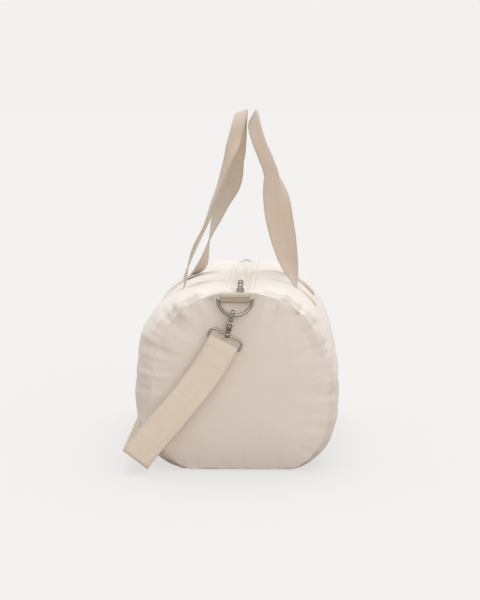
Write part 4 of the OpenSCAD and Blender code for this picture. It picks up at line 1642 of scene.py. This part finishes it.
@dataclass
class Studio:
    """Pale floor, soft light and the camera of the photograph."""

    camera_at: tuple[float, float, float] = (54.0, -2648.8, 463.2)
    tilt: float = 5.975
    pan: float = 1.275
    lens: float = 120.7

    def camera(self) -> None:
        """Sets up the camera."""
        data = bpy.data.cameras.new("camera")
        data.lens = self.lens
        data.sensor_width = 36.0
        data.clip_end = 50.0
        camera = bpy.data.objects.new("camera", data)
        camera.location = Vector(self.camera_at) * MM
        camera.rotation_euler = (math.radians(90 - self.tilt), 0, math.radians(self.pan))
        bpy.context.collection.objects.link(camera)
        bpy.context.scene.camera = camera

    def floor(self) -> None:
        """Lays the floor, which shows as one pale tone and keeps the bag's shadow."""
        deselect()
        bpy.ops.mesh.primitive_plane_add(size=80.0, location=(0, 0, -0.0002))
        floor = bpy.context.object
        floor.name = "studio_floor"
        made, shader = blank_material("pale_paper_floor", {
            "Roughness": 0.9, "Specular IOR Level": 0.0})
        tree = made.node_tree
        # Seen by the camera it is pale paper, and it throws a little warm light on to the bag
        glow = add_node(tree, "ShaderNodeEmission", {"Color": linear("F2F1EF"), "Strength": 1.0})
        seen = add_node(tree, "ShaderNodeLightPath").outputs["Is Camera Ray"]
        base = add_node(tree, "ShaderNodeMix", {"Factor": seen, 6: (0.44, 0.385, 0.34, 1),
                        7: (0.72, 0.705, 0.69, 1)}, data_type="RGBA")
        tree.links.new(base.outputs[2], shader.inputs["Base Color"])
        share = add_node(tree, "ShaderNodeMath", {0: seen, 1: 0.74}, operation="MULTIPLY")
        mix = add_node(tree, "ShaderNodeMixShader", {0: share.outputs[0], 1: shader.outputs[0],
                                                     2: glow.outputs[0]})
        tree.links.new(mix.outputs[0], tree.nodes["Material Output"].inputs["Surface"])
        floor.data.materials.append(made)

    def lamp(self, name: str, towards: tuple[float, float, float], wide: float,
             strength: float, colour: tuple[float, float, float]) -> None:
        """Adds a wide, distant softbox.

        Args:
            name: Name of the lamp.
            towards: Direction from the bag to the lamp.
            wide: Angle that it fills, in degrees.
            strength: Its strength.
            colour: Its colour.
        """
        data = bpy.data.lights.new(name, "SUN")
        data.angle = math.radians(wide)
        data.energy = strength
        data.color = colour
        lamp = bpy.data.objects.new(name, data)
        lamp.rotation_euler = (-Vector(towards)).to_track_quat("-Z", "Y").to_euler()
        bpy.context.collection.objects.link(lamp)

    def light(self) -> None:
        """Sets the lamps and the world."""
        self.lamp("top_softbox", (0.05, 0.5, 0.85), 60.0, 1.95, (0.96, 1.0, 1.05))
        self.lamp("front_softbox", (0.3, -0.95, 0.05), 60.0, 1.42, (1.0, 0.91, 0.87))
        world = bpy.data.worlds.new("studio")
        world.use_nodes = True
        bpy.context.scene.world = world
        tree = world.node_tree
        tree.nodes.clear()
        seen = add_node(tree, "ShaderNodeLightPath").outputs["Is Camera Ray"]
        plain = add_node(tree, "ShaderNodeBackground", {"Color": (0.93, 0.93, 0.95, 1),
                                                        "Strength": 0.74})
        paper = add_node(tree, "ShaderNodeBackground", {"Color": linear("F2F1EF")})
        mix = add_node(tree, "ShaderNodeMixShader", {0: seen, 1: plain.outputs[0],
                                                     2: paper.outputs[0]})
        add_node(tree, "ShaderNodeOutputWorld", {"Surface": mix.outputs[0]})
        bpy.context.scene.view_settings.view_transform = "Standard"

    def build(self) -> None:
        """Builds the whole studio."""
        self.camera()
        self.floor()
        self.light()


# The bag


def bind_seams(finish: Finishes, barrel: Barrel) -> None:
    """Makes the binding tapes inside the end seams.

    Args:
        finish: The finishes.
        barrel: Outline of the bag.
    """
    for end in End:
        rows = [barrel.ring(end.value * (1 - back / barrel.end_y), 121, 9.0)
                for back in (1.2, 4.0, 7.0, 10.0, 13.5)]
        grid = np.array(rows)[::-end.value, -4:2:-1]
        uv = flat_places(arc_lengths(grid[len(grid) // 2, ::-1])[::-1], grid[:, 0, 1])
        piece = lay_grid(f"{end.word}_binding_tape", grid, uv)
        thicken(piece, 1.0)
        dress(piece, finish.twill)
        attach(piece, "bag")
        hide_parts(f"{end.word}_seam_binding")


def main() -> None:
    """Builds the studio and the bag's sub-assemblies in order."""
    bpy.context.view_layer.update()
    Studio().build()
    finish = Finishes()
    barrel = Barrel()
    canvas = CanvasBody(barrel).build(finish)
    bind_seams(finish, barrel)
    skin = surface(*canvas.values())
    on_bag = Stitches()
    on_strap = Stitches()
    for side, near, far, roll in ((Side.LEFT, LEFT_NEAR, LEFT_FAR, 17.0),
                                  (Side.RIGHT, RIGHT_NEAR, RIGHT_FAR, 62.0)):
        handle = CarryHandle(barrel, side, near, far, roll)
        piece = handle.build(finish, f"{side.name.lower()}_handle")
        handle.stitch(on_bag, surface(piece))
    strap = ShoulderStrap()
    strap.stitch(on_strap, surface(strap.build(finish)))
    for end in End:
        RingTab(barrel.tab_x).build(end, finish, on_bag)
    closure = ZipClosure(barrel)
    for side in Side:
        closure.tape(side, finish)
        closure.teeth(side, finish)
    closure.stitch(on_bag, skin)
    stitch_seams(barrel, on_bag, skin)
    Metalwork().finish(finish)
    for stitches, name, body in ((on_bag, "bag_stitches", "bag"),
                                 (on_strap, "strap_stitches", "strap")):
        piece = stitches.build(name)
        dress(piece, finish.thread)
        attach(piece, body)


if __name__ == "__main__":
    main()
